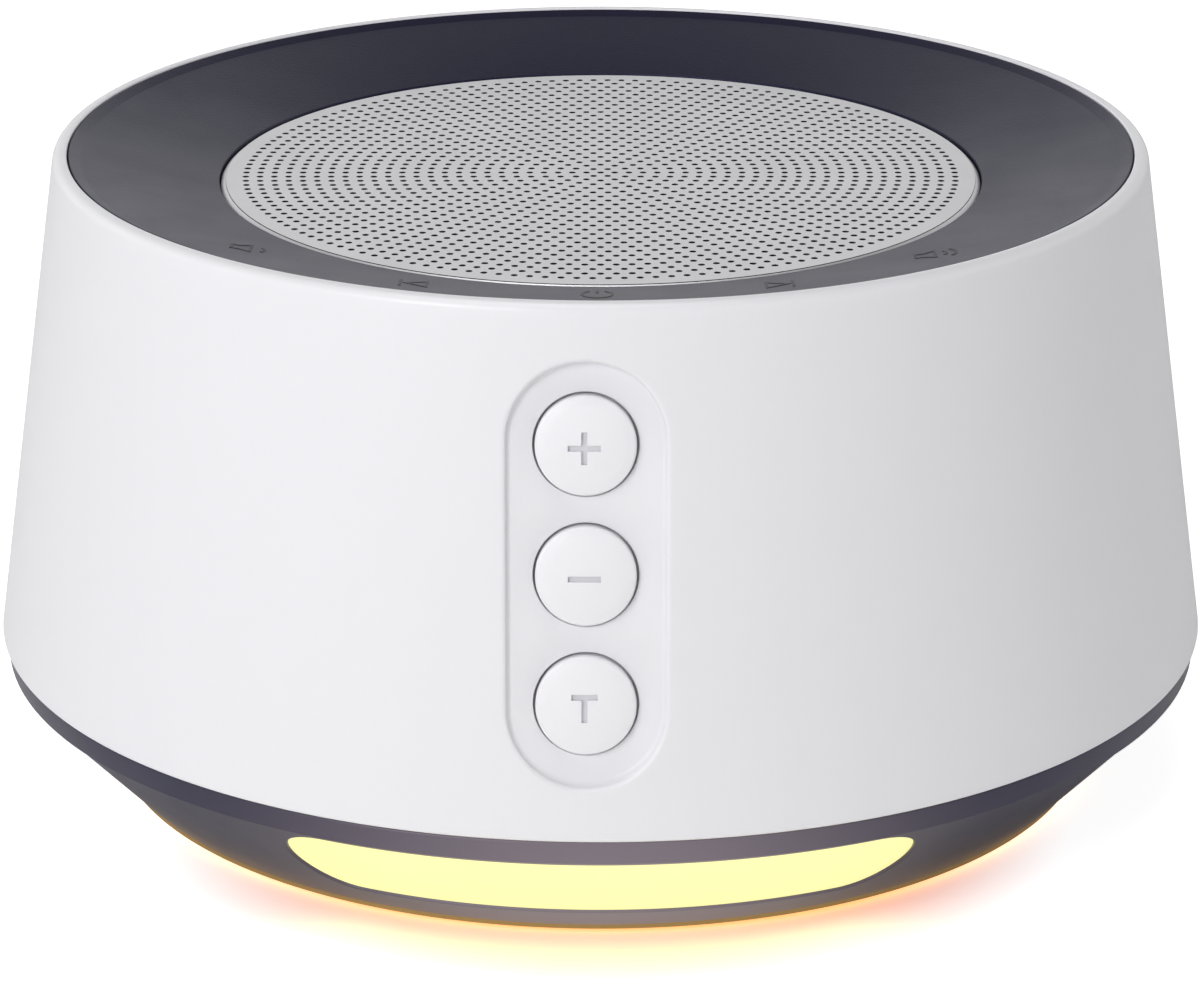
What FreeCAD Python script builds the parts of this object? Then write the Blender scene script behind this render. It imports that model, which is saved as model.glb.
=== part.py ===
import FreeCAD, Part
import math
import os
import re
import Sketcher

# White noise sound machine with a night light.
# Millimetres, +Z up, front towards -Y, origin on the floor under the middle.
# A tapered shell carries a dished top with a round speaker grille, and stands on a
# flared bowl that holds the lamp.

# Driving sizes, each written once: name, value, what it is.
SIZES = [
    ("foot_height", 1.0, "rubber feet, proud of the bowl's lower edge"),
    ("bowl_inset", 10.1, "bowl, its lower edge inside the shell's lower edge"),
    ("bowl_flare", 43.3, "bowl, slope of its side from vertical, degrees"),
    ("bowl_cone", 9.8, "bowl, height of its flared part"),
    ("bowl_band", 2.2, "bowl, height of the upright band above the flare"),
    ("band_draft", 0.2, "bowl, how much the band widens upwards"),
    ("bowl_wall", 1.8, "bowl, wall thickness"),
    ("flange_width", 7.0, "bowl, inner flange that the shell's bosses stand on"),
    ("flange_thick", 2.0, "bowl, thickness of that flange"),
    ("shell_radius", 55.0, "shell, radius of its lower edge"),
    ("shell_height", 44.5, "shell, height"),
    ("shell_taper", 7.9, "shell, slope of its wall from vertical, degrees"),
    ("shell_wall", 2.2, "shell, wall thickness"),
    ("rim_edge", 0.5, "shell, chamfer of the top outer corner"),
    ("rim_width", 1.225, "shell, width of its flat rim round the dish"),
    ("dish_gap", 0.15, "dish, gap to the shell's rim"),
    ("dish_drop", 0.1, "dish, its edge below the shell's rim"),
    ("dish_flange", 2.3, "dish, height of its outer edge"),
    ("seat_width", 2.0, "shell, ledge under the dish"),
    ("seat_thick", 1.6, "shell, thickness of that ledge"),
    ("bevel_width", 1.1, "dish, bevel inside its edge"),
    ("bevel_drop", 0.45, "dish, fall across that bevel"),
    ("dish_fall", 2.55, "dish, fall of the sloped face down to the grille"),
    ("dish_thick", 2.0, "dish, thickness of the sloped face"),
    ("dish_draft", 0.4, "dish, draft from the speaker's face up to the thin slope"),
    ("slope_width", 12.2, "dish, width of the sloped face"),
    ("grille_gap", 0.15, "grille, gap to the dish"),
    ("grille_thick", 1.0, "grille, thickness"),
    ("grille_bevel", 0.35, "grille, bevel of its top edge"),
    ("grille_margin", 2.2, "grille, its outermost ring of holes inside its edge"),
    ("grille_rings", 7, "grille, rings of holes round the middle one"),
    ("grille_hole", 1.9, "grille, hole across its corners"),
    ("grille_seat", 1.5, "dish, ledge under the grille"),
    ("cloth_thick", 0.3, "acoustic cloth, thickness"),
    ("cloth_gap", 0.2, "acoustic cloth, gap round its edge"),
    ("mount_drop", 2.0, "dish, face for the speaker, below the grille's seat"),
    ("mount_width", 5.6, "dish, width of that face"),
    ("driver_frame", 1.2, "speaker, thickness of its steel flange"),
    ("driver_depth", 15.0, "speaker, flange to back plate"),
    ("driver_neck", 17.0, "speaker, radius of the back plate"),
    ("driver_sheet", 1.2, "speaker, thickness of the steel basket"),
    ("driver_inset", 0.4, "speaker, flange inside the dish's face"),
    ("magnet_radius", 19.0, "speaker magnet, radius"),
    ("magnet_height", 8.0, "speaker magnet, height"),
    ("surround_width", 4.5, "speaker surround, width of its roll"),
    ("surround_rise", 1.6, "speaker surround, height of its roll"),
    ("cone_throat", 9.0, "speaker cone, radius at the coil"),
    ("cone_depth", 7.5, "speaker cone, depth"),
    ("cone_paper", 0.6, "speaker cone, thickness"),
    ("cap_rise", 2.2, "dust cap, height of its dome"),
    ("coil_wall", 0.7, "voice coil, wall thickness"),
    ("coil_play", 0.1, "voice coil, clearance to the cone's throat"),
    ("screw_shank", 1.25, "screws, radius of the shank"),
    ("screw_head", 2.0, "screws, radius of the head"),
    ("screw_cap", 1.4, "screws, height of the head"),
    ("screw_play", 0.15, "screws, clearance round the shank"),
    ("well_drop", 0.1, "button well, its middle below the middle of the wall"),
    ("well_shift", -1.2, "button well, its middle beside the centre line"),
    ("well_width", 13.1, "button well, width"),
    ("well_length", 35.6, "button well, length along the wall"),
    ("well_depth", 1.2, "button well, depth below the wall's face"),
    ("well_floor", 2.0, "button well, thickness of its floor"),
    ("well_skirt", 1.6, "button well, margin of the floor round the well"),
    ("button_width", 8.3, "button, diameter of the cap"),
    ("button_pitch", 10.85, "buttons, centre to centre"),
    ("button_gap", 0.2, "button, gap round the cap"),
    ("button_rise", 0.75, "button, edge of the cap above the well's floor"),
    ("button_dome", 0.45, "button, rise of its domed face"),
    ("dome_shoulder", 2.5, "button, radius where its dome flattens"),
    ("dome_step", 0.32, "button, rise from its edge to that radius"),
    ("button_lip", 0.9, "button, width of the lip behind the floor"),
    ("lip_thick", 0.8, "button, thickness of that lip"),
    ("button_travel", 0.5, "button, travel"),
    ("button_rest", 0.1, "button, gap between its lip and the floor at rest"),
    ("plunger_radius", 1.2, "switch plunger, radius"),
    ("plunger_play", 0.1, "switch plunger, clearance in the switch"),
    ("plunger_bite", 1.2, "switch plunger, length inside the switch at rest"),
    ("switch_width", 5.0, "switch, width"),
    ("switch_height", 3.5, "switch, height above its board"),
    ("board_thick", 1.6, "circuit boards, thickness"),
    ("panel_length", 30.0, "button board, length"),
    ("post_gap", 0.3, "button board posts, gap to the lip of the middle button"),
    ("post_radius", 1.8, "button board, radius of its posts"),
    ("panel_shank", 0.8, "button board screws, radius of the shank"),
    ("panel_head", 1.6, "button board screws, radius of the head"),
    ("panel_cap", 1.0, "button board screws, height of the head"),
    ("touch_drop", 0.8, "touch pads, height between their board and the dish"),
    ("touch_width", 5.6, "touch board, width"),
    ("touch_angle", 60.0, "touch board, half its angle, degrees"),
    ("touch_mark", 21.5, "touch pads, angle from one to the next, degrees"),
    ("touch_pad", 1.2, "touch pads, radius"),
    ("touch_gap", 0.3, "touch board, gap to the dish's rib"),
    ("boss_inset", 4.5, "case bosses, their middle inside the shell's wall"),
    ("boss_radius", 3.6, "case bosses, radius"),
    ("boss_height", 12.0, "case bosses, height"),
    ("port_width", 12.0, "power port, width of the plug's opening"),
    ("port_height", 6.6, "power port, height of the plug's opening"),
    ("socket_width", 9.0, "power socket, width"),
    ("socket_height", 3.3, "power socket, height"),
    ("socket_depth", 7.4, "power socket, depth"),
    ("socket_shell", 0.35, "power socket, thickness of its steel shell"),
    ("socket_inset", 0.6, "power socket, its mouth inside the wall"),
    ("board_level", 5.0, "main board, above the bowl's upper edge"),
    ("board_margin", 8.2, "main board, its edges outside the middle of its screws"),
    ("tongue_width", 16.0, "main board, width of the tongue behind the socket"),
    ("chip_side", 8.0, "processor, side"),
    ("chip_gap", 0.5, "capacitor and choke, inside the main board's edge"),
    ("chip_rise", 1.6, "processor and amplifier, height"),
    ("coil_side", 6.0, "choke and amplifier, side"),
    ("can_radius", 4.0, "capacitor, radius"),
    ("can_height", 6.2, "capacitor and choke, height"),
    ("pillar_inset", 12.2, "base pillars, their middle inside the plate's edge"),
    ("pillar_radius", 3.5, "base pillars, radius"),
    ("lens_low", 2.0, "lamp window, its lower edge above the bowl's lower edge"),
    ("lens_tall", 7.6, "lamp window, height"),
    ("lens_half", 26.7, "lamp window, half its width"),
    ("lens_play", 0.15, "lamp window, clearance round the lens"),
    ("lens_inset", 0.1, "lamp window, lens below the bowl's face"),
    ("diffuser_wall", 1.4, "diffuser, wall thickness"),
    ("diffuser_lip", 0.45, "diffuser, thickness of the lip under the bowl"),
    ("diffuser_top", 8.2, "diffuser, height above the bowl's lower edge"),
    ("plate_thick", 1.8, "base plate, thickness"),
    ("plate_rise", 0.75, "base plate, height above the floor"),
    ("foot_radius", 5.0, "rubber feet, radius"),
    ("foot_inset", 7.2, "rubber feet, their middle inside the plate's edge"),
    ("foot_recess", 0.5, "rubber feet, depth of their recess"),
    ("lamp_margin", 2.5, "lamp board, its inner corners inside the pillars"),
    ("lamp_width", 13.5, "lamp board, inner to outer corner"),
    ("lamp_level", 3.0, "lamp board, above the base plate"),
    ("lamp_count", 12, "light-emitting diodes"),
    ("lamp_side", 3.0, "light-emitting diode, side"),
    ("lamp_rise", 1.1, "light-emitting diode, height"),
]

# Screws, bosses, pillars and feet stand four to a circle, the first at this angle.
CORNERS = 4
CORNER_ANGLE = 45

# Levels and radii that follow from the driving sizes.
BOWL_TOP = "(foot_height + bowl_cone + bowl_band)"
BAND_LOW = "(foot_height + bowl_cone)"
RIM = f"({BOWL_TOP} + shell_height)"
BOWL_RADIUS = "(shell_radius - bowl_inset)"
CONE_TOP = f"({BOWL_RADIUS} + bowl_cone * tan(bowl_flare))"
BOWL_SKIN = "(bowl_wall / cos(bowl_flare))"
SHELL_SKIN = "(shell_wall / cos(shell_taper))"
RIM_RADIUS = "(shell_radius - shell_height * tan(shell_taper))"
SEAT = f"({RIM} - dish_drop - dish_flange)"
POCKET_RADIUS = f"({RIM_RADIUS} - rim_width)"
DISH_RADIUS = f"({POCKET_RADIUS} - dish_gap)"
DISH_TOP = f"({RIM} - dish_drop)"
SLOPE_OUTER = f"({DISH_RADIUS} - bevel_width)"
GRILLE_POCKET = f"({SLOPE_OUTER} - slope_width)"
GRILLE_RADIUS = f"({GRILLE_POCKET} - grille_gap)"
GRILLE_TOP = f"({DISH_TOP} - bevel_drop - dish_fall)"
GRILLE_LOW = f"({GRILLE_TOP} - grille_thick)"
THROAT_RADIUS = f"({GRILLE_POCKET} - grille_seat)"
MOUNT = f"({GRILLE_LOW} - mount_drop)"
MOUNT_OUTER = f"({THROAT_RADIUS} + mount_width)"
DRIVER_RADIUS = f"({MOUNT_OUTER} - driver_inset)"
DRIVER_LOW = f"({MOUNT} - driver_depth)"
SPEAKER_SCREW_RING = f"({THROAT_RADIUS} + mount_width / 2)"
RIB = f"({MOUNT_OUTER} + dish_draft)"
DISH_SLOPE = f"(({DISH_TOP} - bevel_drop - {GRILLE_TOP}) / ({SLOPE_OUTER} - {GRILLE_POCKET}))"
RIB_UNDER = f"({GRILLE_TOP} + ({RIB} - {GRILLE_POCKET}) * {DISH_SLOPE} - dish_thick)"
PLATE_TOP = "(plate_rise + plate_thick)"
PLATE_EDGE = f"({BOWL_RADIUS} - {BOWL_SKIN} - 2 * lens_play - diffuser_wall / cos(bowl_flare))"
FOOT_RING = f"({PLATE_EDGE} - foot_inset)"
PILLAR_RING = f"({PLATE_EDGE} - pillar_inset)"
PILLAR_STEP = f"({PILLAR_RING} * cos({CORNER_ANGLE}))"
LAMP_INNER = f"({PILLAR_RING} - pillar_radius - lamp_margin)"
LAMP_RING = f"({PILLAR_RING} + pillar_radius)"
BOSS_RING = f"(shell_radius - {SHELL_SKIN} - boss_inset)"
BOSS_STEP = f"({BOSS_RING} * cos({CORNER_ANGLE}))"
BOARD_LOW = f"({BOWL_TOP} + board_level)"
BOARD_TOP = f"({BOARD_LOW} + board_thick)"
WELL_HEIGHT = "(shell_height / 2 - well_drop)"
WELL_Z = f"({BOWL_TOP} + {WELL_HEIGHT})"
LIP_FRONT = "(well_depth + well_floor + button_rest)"
LIP_BACK = f"({LIP_FRONT} + lip_thick)"
SWITCH_FACE = f"({LIP_BACK} + button_travel + button_rest)"
PANEL_FRONT = f"({SWITCH_FACE} + switch_height)"
POST_REACH = "(button_width / 2 + button_lip + post_gap + post_radius)"
SCREW_STEP = f"({SPEAKER_SCREW_RING} * cos({CORNER_ANGLE}))"

doc = FreeCAD.newDocument("sound_machine")
sheet = doc.addObject("Spreadsheet::Sheet", "Sizes")
for row, (alias, number, note) in enumerate(SIZES, start=1):
    sheet.set(f"A{row}", note)
    sheet.set(f"B{row}", str(number))
    sheet.setAlias(f"B{row}", alias)
doc.recompute()

parts = []
NEAR = 0.01


def bound(text):
    """An expression in which each size is read from the sheet."""
    return re.sub(r"[a-z][a-z_]+\b(?!\()", lambda word: "Sizes." + word.group(), text)


def value(item, text):
    """The number that an expression gives now."""
    result = item.evalExpression(bound(text))
    return float(getattr(result, "Value", result))


def bind(item, name, text):
    """Ties a property to an expression of the sheet's sizes."""
    item.setExpression(name, bound(text))


def new_body(name, several=False):
    """A body that becomes one piece of the assembly."""
    body = doc.addObject("PartDesign::Body", name)
    body.Label = name
    body.AllowCompound = several
    parts.append(body)
    return body


def on_wall(item, name, depth, along="0"):
    """Places item's frame on the front wall: z outwards, y up along the wall."""
    place = FreeCAD.Placement()
    place.Rotation = FreeCAD.Rotation(FreeCAD.Vector(1, 0, 0), 90 - value(item, "shell_taper"))
    setattr(item, name, place)
    radius = f"(shell_radius - {WELL_HEIGHT} * tan(shell_taper))"
    bind(item, name + ".Base.x", "well_shift")
    bind(item, name + ".Base.y",
         f"({along}) * sin(shell_taper) + ({depth}) * cos(shell_taper) - {radius}")
    bind(item, name + ".Base.z",
         f"{WELL_Z} + ({along}) * cos(shell_taper) - ({depth}) * sin(shell_taper)")
    bind(item, name + ".Rotation.Angle", "90 - shell_taper")


def new_sketch(body, name, plane, lift=None, wall_depth=None):
    """A sketch on one of the body's planes, lifted off it or laid into the front wall."""
    sketch = body.newObject("Sketcher::SketchObject", name)
    origin_plane = next(face for face in body.Origin.OriginFeatures if face.Role == plane)
    sketch.AttachmentSupport = [(origin_plane, "")]
    sketch.MapMode = "FlatFace"
    if lift is not None:
        bind(sketch, "AttachmentOffset.Base.z", lift)
    if wall_depth is not None:
        on_wall(sketch, "AttachmentOffset", wall_depth)
    return sketch


def pin(sketch, edge, point, across, up):
    """Ties a point of an edge to its distances from the sketch's origin."""
    for kind, axis, text in (("DistanceX", -2, across), ("DistanceY", -1, up)):
        if text == "0":
            sketch.addConstraint(Sketcher.Constraint("PointOnObject", edge, point, axis))
            continue
        here = value(sketch, text)
        number = sketch.addConstraint(Sketcher.Constraint(kind, -1, 1, edge, point, here))
        bind(sketch, f"Constraints[{number}]", text)


def outline(sketch, corners):
    """A closed outline with straight sides."""
    first = sketch.GeometryCount
    count = len(corners)
    spots = [FreeCAD.Vector(value(sketch, a), value(sketch, b), 0) for a, b in corners]
    for i in range(count):
        sketch.addGeometry(Part.LineSegment(spots[i], spots[(i + 1) % count]), False)
    for i in range(count):
        after = first + (i + 1) % count
        sketch.addConstraint(Sketcher.Constraint("Coincident", first + i, 2, after, 1))
    for i, (across, up) in enumerate(corners):
        pin(sketch, first + i, 1, across, up)


def rectangle(sketch, across, up, width, tall):
    """A rectangle about its middle."""
    left, right = f"{across} - ({width}) / 2", f"{across} + ({width}) / 2"
    low, high = f"{up} - ({tall}) / 2", f"{up} + ({tall}) / 2"
    outline(sketch, [(left, low), (right, low), (right, high), (left, high)])


def circle(sketch, across, up, radius):
    """A circle about its middle."""
    centre = FreeCAD.Vector(value(sketch, across), value(sketch, up), 0)
    shape = Part.Circle(centre, FreeCAD.Vector(0, 0, 1), value(sketch, radius))
    edge = sketch.addGeometry(shape, False)
    pin(sketch, edge, 3, across, up)
    number = sketch.addConstraint(Sketcher.Constraint("Radius", edge, value(sketch, radius)))
    bind(sketch, f"Constraints[{number}]", radius)


def stadium(sketch, across, up, reach, radius, upright):
    """Two half circles, their centres reach either side of the middle, and two sides."""
    step = ("0", reach) if upright else (reach, "0")
    turn = 0.0 if upright else -math.pi / 2
    size = value(sketch, radius)
    centres = []
    for sign in ("+", "-"):
        centres.append((f"{across} {sign} {step[0]}", f"{up} {sign} {step[1]}"))
    first = sketch.GeometryCount
    for i, (a, b) in enumerate(centres):
        centre = FreeCAD.Vector(value(sketch, a), value(sketch, b), 0)
        ring = Part.Circle(centre, FreeCAD.Vector(0, 0, 1), size)
        start = turn + math.pi * i
        sketch.addGeometry(Part.ArcOfCircle(ring, start, start + math.pi), False)
    ends = [sketch.getPoint(first, 2), sketch.getPoint(first + 1, 1)]
    sketch.addGeometry(Part.LineSegment(ends[0], ends[1]), False)
    ends = [sketch.getPoint(first + 1, 2), sketch.getPoint(first, 1)]
    sketch.addGeometry(Part.LineSegment(ends[0], ends[1]), False)
    for pair in ((first, 2, first + 2, 1), (first + 2, 2, first + 1, 1),
                 (first + 1, 2, first + 3, 1), (first + 3, 2, first, 1)):
        sketch.addConstraint(Sketcher.Constraint("Tangent", *pair))
    for i, (a, b) in enumerate(centres):
        pin(sketch, first + i, 3, a, b)
        number = sketch.addConstraint(Sketcher.Constraint("Radius", first + i, size))
        bind(sketch, f"Constraints[{number}]", radius)


def turned(body, name, corners, kind="Revolution", axis="0"):
    """A profile of radius and height turned about the upright line at radius axis."""
    sketch = new_sketch(body, name + "_profile", "XZ_Plane")
    outline(sketch, corners)
    feature = body.newObject("PartDesign::" + kind, name)
    feature.Profile = sketch
    if axis == "0":
        feature.ReferenceAxis = (sketch, ["V_Axis"])
    else:
        low = FreeCAD.Vector(value(sketch, axis), 0, 0)
        high = FreeCAD.Vector(value(sketch, axis), 1, 0)
        line = sketch.addGeometry(Part.LineSegment(low, high), True)
        pin(sketch, line, 1, axis, "0")
        sketch.addConstraint(Sketcher.Constraint("Vertical", line))
        sketch.addConstraint(Sketcher.Constraint("DistanceY", line, 1, line, 2, 1))
        feature.ReferenceAxis = (sketch, ["Axis0"])
    feature.Angle = 360
    doc.recompute()
    return feature


def extruded(body, name, sketch, length, kind="Pad", reverse=False):
    """Pads or pockets a sketch, and makes sure that the solid changed the right way."""
    before = 0 if body.Shape.isNull() else body.Shape.Volume
    feature = body.newObject("PartDesign::" + kind, name)
    feature.Refine = False
    feature.Profile = sketch
    feature.Length = value(sketch, length)
    bind(feature, "Length", length)
    feature.Reversed = reverse
    doc.recompute()
    if (feature.Shape.Volume > before) != (kind == "Pad"):
        raise RuntimeError(f"{body.Label}: {name} points the wrong way")
    return feature


def around(body, feature, copies):
    """Repeats a feature round the upright axis."""
    pattern = body.newObject("PartDesign::PolarPattern", feature.Name + "_ring")
    pattern.Originals = [feature]
    axis = next(line for line in body.Origin.OriginFeatures if line.Role == "Z_Axis")
    pattern.Axis = (axis, [""])
    pattern.Angle = 360
    pattern.Refine = False
    bind(pattern, "Occurrences", str(copies))
    body.Tip = pattern
    doc.recompute()
    return pattern


def turn_body(body, degrees):
    """Turns a body about the upright axis."""
    body.Placement = FreeCAD.Placement(FreeCAD.Vector(), FreeCAD.Rotation(degrees, 0, 0))


def rim_edges(feature, radius, height):
    """Names of the round edges of that radius at that height."""
    names = []
    for number, edge in enumerate(feature.Shape.Edges, start=1):
        ring = edge.Curve
        if isinstance(ring, Part.Circle) and abs(ring.Radius - radius) < NEAR:
            if abs(ring.Center.z - height) < NEAR:
                names.append(f"Edge{number}")
    return names


def screw_set(name, ring, seat, length, downwards):
    """Pan-head screws on a circle, their heads on the level seat."""
    body = new_body(name, several=True)
    way = "-" if downwards else "+"
    back = "+" if downwards else "-"
    edge = f"{ring} + screw_shank"
    head = f"{ring} + screw_head"
    tip, crown = f"{seat} {way} {length}", f"{seat} {back} screw_cap"
    screw = turned(body, name + "_turn",
                   [(ring, tip), (edge, tip), (edge, seat), (head, seat), (head, crown), (ring, crown)],
                   axis=ring)
    around(body, screw, CORNERS)
    turn_body(body, CORNER_ANGLE)
    return body


def outer_shell():
    """Tapered moulded wall, open below, with a ledge for the dish and the button well."""
    body = new_body("outer_shell")
    ledge = f"({POCKET_RADIUS} - seat_width)"
    under = f"({SEAT} - seat_thick)"
    inner_top = f"(shell_radius - ({under} - {BOWL_TOP}) * tan(shell_taper) - {SHELL_SKIN})"
    wall = turned(body, "Wall", [
        ("shell_radius", BOWL_TOP),
        (RIM_RADIUS, RIM),
        (POCKET_RADIUS, RIM),
        (POCKET_RADIUS, SEAT),
        (ledge, SEAT),
        (ledge, under),
        (inner_top, under),
        (f"shell_radius - {SHELL_SKIN}", BOWL_TOP),
    ])
    rim = body.newObject("PartDesign::Chamfer", "Rim_edge")
    rim.Base = (wall, rim_edges(wall, value(wall, RIM_RADIUS), value(wall, RIM)))
    bind(rim, "Size", "rim_edge")
    doc.recompute()

    reach = "(well_length - well_width) / 2"
    floor = new_sketch(body, "Well_floor_outline", "XY_Plane", wall_depth="well_depth + well_floor")
    stadium(floor, "0", "0", reach, "well_width / 2 + well_skirt", True)
    extruded(body, "Well_floor", floor, "well_floor")
    mouth = new_sketch(body, "Well_outline", "XY_Plane", wall_depth="-well_depth")
    stadium(mouth, "0", "0", reach, "well_width / 2", True)
    extruded(body, "Well", mouth, "2 * well_depth", "Pocket")
    holes = new_sketch(body, "Button_holes_outline", "XY_Plane", wall_depth="0")
    for along in ("-button_pitch", "0", "button_pitch"):
        circle(holes, "0", along, "button_width / 2 + button_gap")
    extruded(body, "Button_holes", holes, "well_depth + 2 * well_floor", "Pocket")
    posts = new_sketch(body, "Panel_posts_outline", "XY_Plane", wall_depth=PANEL_FRONT)
    for side in ("-", ""):
        circle(posts, side + POST_REACH, "0", "post_radius")
        circle(posts, side + POST_REACH, "0", "panel_shank")
    extruded(body, "Panel_posts", posts, f"{PANEL_FRONT} - well_depth - well_floor / 2")

    boss = new_sketch(body, "Boss_outline", "XY_Plane", lift=BOWL_TOP)
    circle(boss, BOSS_STEP, BOSS_STEP, "boss_radius")
    circle(boss, BOSS_STEP, BOSS_STEP, "screw_shank")
    around(body, extruded(body, "Boss", boss, "boss_height"), CORNERS)
    port = new_sketch(body, "Port_outline", "XZ_Plane")
    stadium(port, "0", f"{BOARD_TOP} + socket_height / 2",
            "(port_width - port_height) / 2", "port_height / 2", False)
    extruded(body, "Port", port, "shell_radius", "Pocket")


def top_dish():
    """Sloped ring between rim and grille, with a ledge for the grille and a face for the speaker."""
    body = new_body("top_dish")
    edge = f"({POCKET_RADIUS} - seat_width - dish_gap)"
    turned(body, "Ring", [
        (DISH_RADIUS, DISH_TOP),
        (SLOPE_OUTER, f"{DISH_TOP} - bevel_drop"),
        (GRILLE_POCKET, GRILLE_TOP),
        (GRILLE_POCKET, GRILLE_LOW),
        (THROAT_RADIUS, GRILLE_LOW),
        (THROAT_RADIUS, MOUNT),
        (MOUNT_OUTER, MOUNT),
        (RIB, RIB_UNDER),
        (edge, SEAT),
        (DISH_RADIUS, SEAT),
    ])
    pilot = new_sketch(body, "Pilot_outline", "XY_Plane", lift=MOUNT)
    circle(pilot, SCREW_STEP, SCREW_STEP, "screw_shank")
    around(body, extruded(body, "Pilot", pilot, "mount_drop", "Pocket", reverse=True), CORNERS)


def speaker_grille():
    """Perforated disc: a middle hole and rings of six, twelve, eighteen and so on."""
    disc = new_body("grille_disc")
    parts.remove(disc)
    turned(disc, "Disc", [
        ("0", GRILLE_LOW),
        (GRILLE_RADIUS, GRILLE_LOW),
        (GRILLE_RADIUS, f"{GRILLE_TOP} - grille_bevel"),
        (f"{GRILLE_RADIUS} - grille_bevel", GRILLE_TOP),
        ("0", GRILLE_TOP),
    ])
    rings = round(value(disc, "grille_rings"))
    pitch = value(disc, f"({GRILLE_RADIUS} - grille_margin) / grille_rings")
    level = value(disc, GRILLE_LOW)
    height = FreeCAD.Vector(0, 0, value(disc, "grille_thick"))
    spots = [FreeCAD.Vector(0, 0, level)]
    for ring in range(1, rings + 1):
        for step in range(6 * ring):
            turn = FreeCAD.Rotation(360 * step / (6 * ring), 0, 0)
            spots.append(turn.multVec(FreeCAD.Vector(ring * pitch, 0, 0)) + spots[0])
    reach = FreeCAD.Vector(value(disc, "grille_hole / 2"), 0, 0)
    corners = [FreeCAD.Rotation(60 * side, 0, 0).multVec(reach) for side in range(7)]
    prisms = []
    for spot in spots:
        ring_wire = Part.makePolygon([spot + corner for corner in corners])
        prisms.append(Part.Face(ring_wire).extrude(height))
    holes = doc.addObject("Part::Feature", "grille_holes")
    holes.Shape = Part.makeCompound(prisms)
    grille = doc.addObject("Part::Cut", "speaker_grille")
    grille.Base = disc
    grille.Tool = holes
    grille.Label = "speaker_grille"
    grille.Refine = False
    parts.append(grille)


def grille_cloth():
    """Black cloth disc under the grille."""
    body = new_body("grille_cloth")
    edge = f"{THROAT_RADIUS} - cloth_gap"
    turned(body, "Cloth", [("0", f"{GRILLE_LOW} - cloth_thick"), (edge, f"{GRILLE_LOW} - cloth_thick"),
                           (edge, GRILLE_LOW), ("0", GRILLE_LOW)])


def speaker_basket():
    """Pressed steel basket: a flange, a sloped skirt with four windows and a back plate."""
    body = new_body("speaker_basket")
    flange_in = f"({THROAT_RADIUS} - driver_inset)"
    turned(body, "Basket", [
        (DRIVER_RADIUS, MOUNT),
        (DRIVER_RADIUS, f"{MOUNT} - driver_frame"),
        (flange_in, f"{MOUNT} - driver_frame"),
        ("driver_neck", DRIVER_LOW),
        ("cone_throat", DRIVER_LOW),
        ("cone_throat", f"{DRIVER_LOW} + driver_sheet"),
        ("driver_neck - driver_sheet", f"{DRIVER_LOW} + driver_sheet"),
        (f"{flange_in} - driver_sheet", f"{MOUNT} - driver_frame"),
        (f"{flange_in} - driver_sheet", MOUNT),
    ])
    window = new_sketch(body, "Window_outline", "XZ_Plane")
    low, high = f"{DRIVER_LOW} + 3 * driver_sheet", f"{MOUNT} - 3 * driver_sheet"
    outline(window, [("-driver_neck / 2", low), ("driver_neck / 2", low),
                     (f"{flange_in} / 2", high), (f"-{flange_in} / 2", high)])
    around(body, extruded(body, "Window", window, DRIVER_RADIUS, "Pocket"), CORNERS)
    slot = new_sketch(body, "Screw_outline", "XY_Plane", lift=MOUNT)
    circle(slot, SCREW_STEP, SCREW_STEP,
           "screw_shank + screw_play")
    around(body, extruded(body, "Screw_hole", slot, "2 * driver_frame", "Pocket"), CORNERS)


def speaker_parts():
    """Surround, cone, dust cap, voice coil and magnet, stacked on one axis."""
    outer = f"({THROAT_RADIUS} - driver_inset - driver_sheet)"
    inner = f"({outer} - surround_width)"
    body = new_body("speaker_surround")
    turned(body, "Roll", [
        (outer, f"{MOUNT} - cone_paper"),
        (f"({outer} + {inner}) / 2", f"{MOUNT} + surround_rise - cone_paper"),
        (inner, f"{MOUNT} - cone_paper"),
        (inner, MOUNT),
        (f"({outer} + {inner}) / 2", f"{MOUNT} + surround_rise"),
        (outer, MOUNT),
    ])
    body = new_body("speaker_cone")
    low = f"({MOUNT} - cone_depth)"
    turned(body, "Paper", [
        (inner, MOUNT),
        ("cone_throat", low),
        ("cone_throat", f"{low} - cone_paper"),
        (inner, f"{MOUNT} - cone_paper"),
    ])
    inside = "(cone_throat - cone_paper)"
    body = new_body("dust_cap")
    turned(body, "Cap", [
        ("0", low),
        (inside, low),
        (inside, f"{low} - cone_paper"),
        ("cone_throat", f"{low} - cone_paper"),
        ("cone_throat", low),
        ("0", f"{low} + cap_rise"),
    ])
    body = new_body("speaker_magnet")
    turned(body, "Magnet", [
        ("0", f"{DRIVER_LOW} - magnet_height"),
        ("magnet_radius", f"{DRIVER_LOW} - magnet_height"),
        ("magnet_radius", DRIVER_LOW),
        ("0", DRIVER_LOW),
    ])
    body = new_body("voice_coil")
    coil = "(cone_throat - coil_play - coil_wall)"
    turned(body, "Coil", [
        (coil, DRIVER_LOW),
        ("cone_throat - coil_play", DRIVER_LOW),
        ("cone_throat - coil_play", f"{low} - cone_paper"),
        (coil, f"{low} - cone_paper"),
    ])


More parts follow.
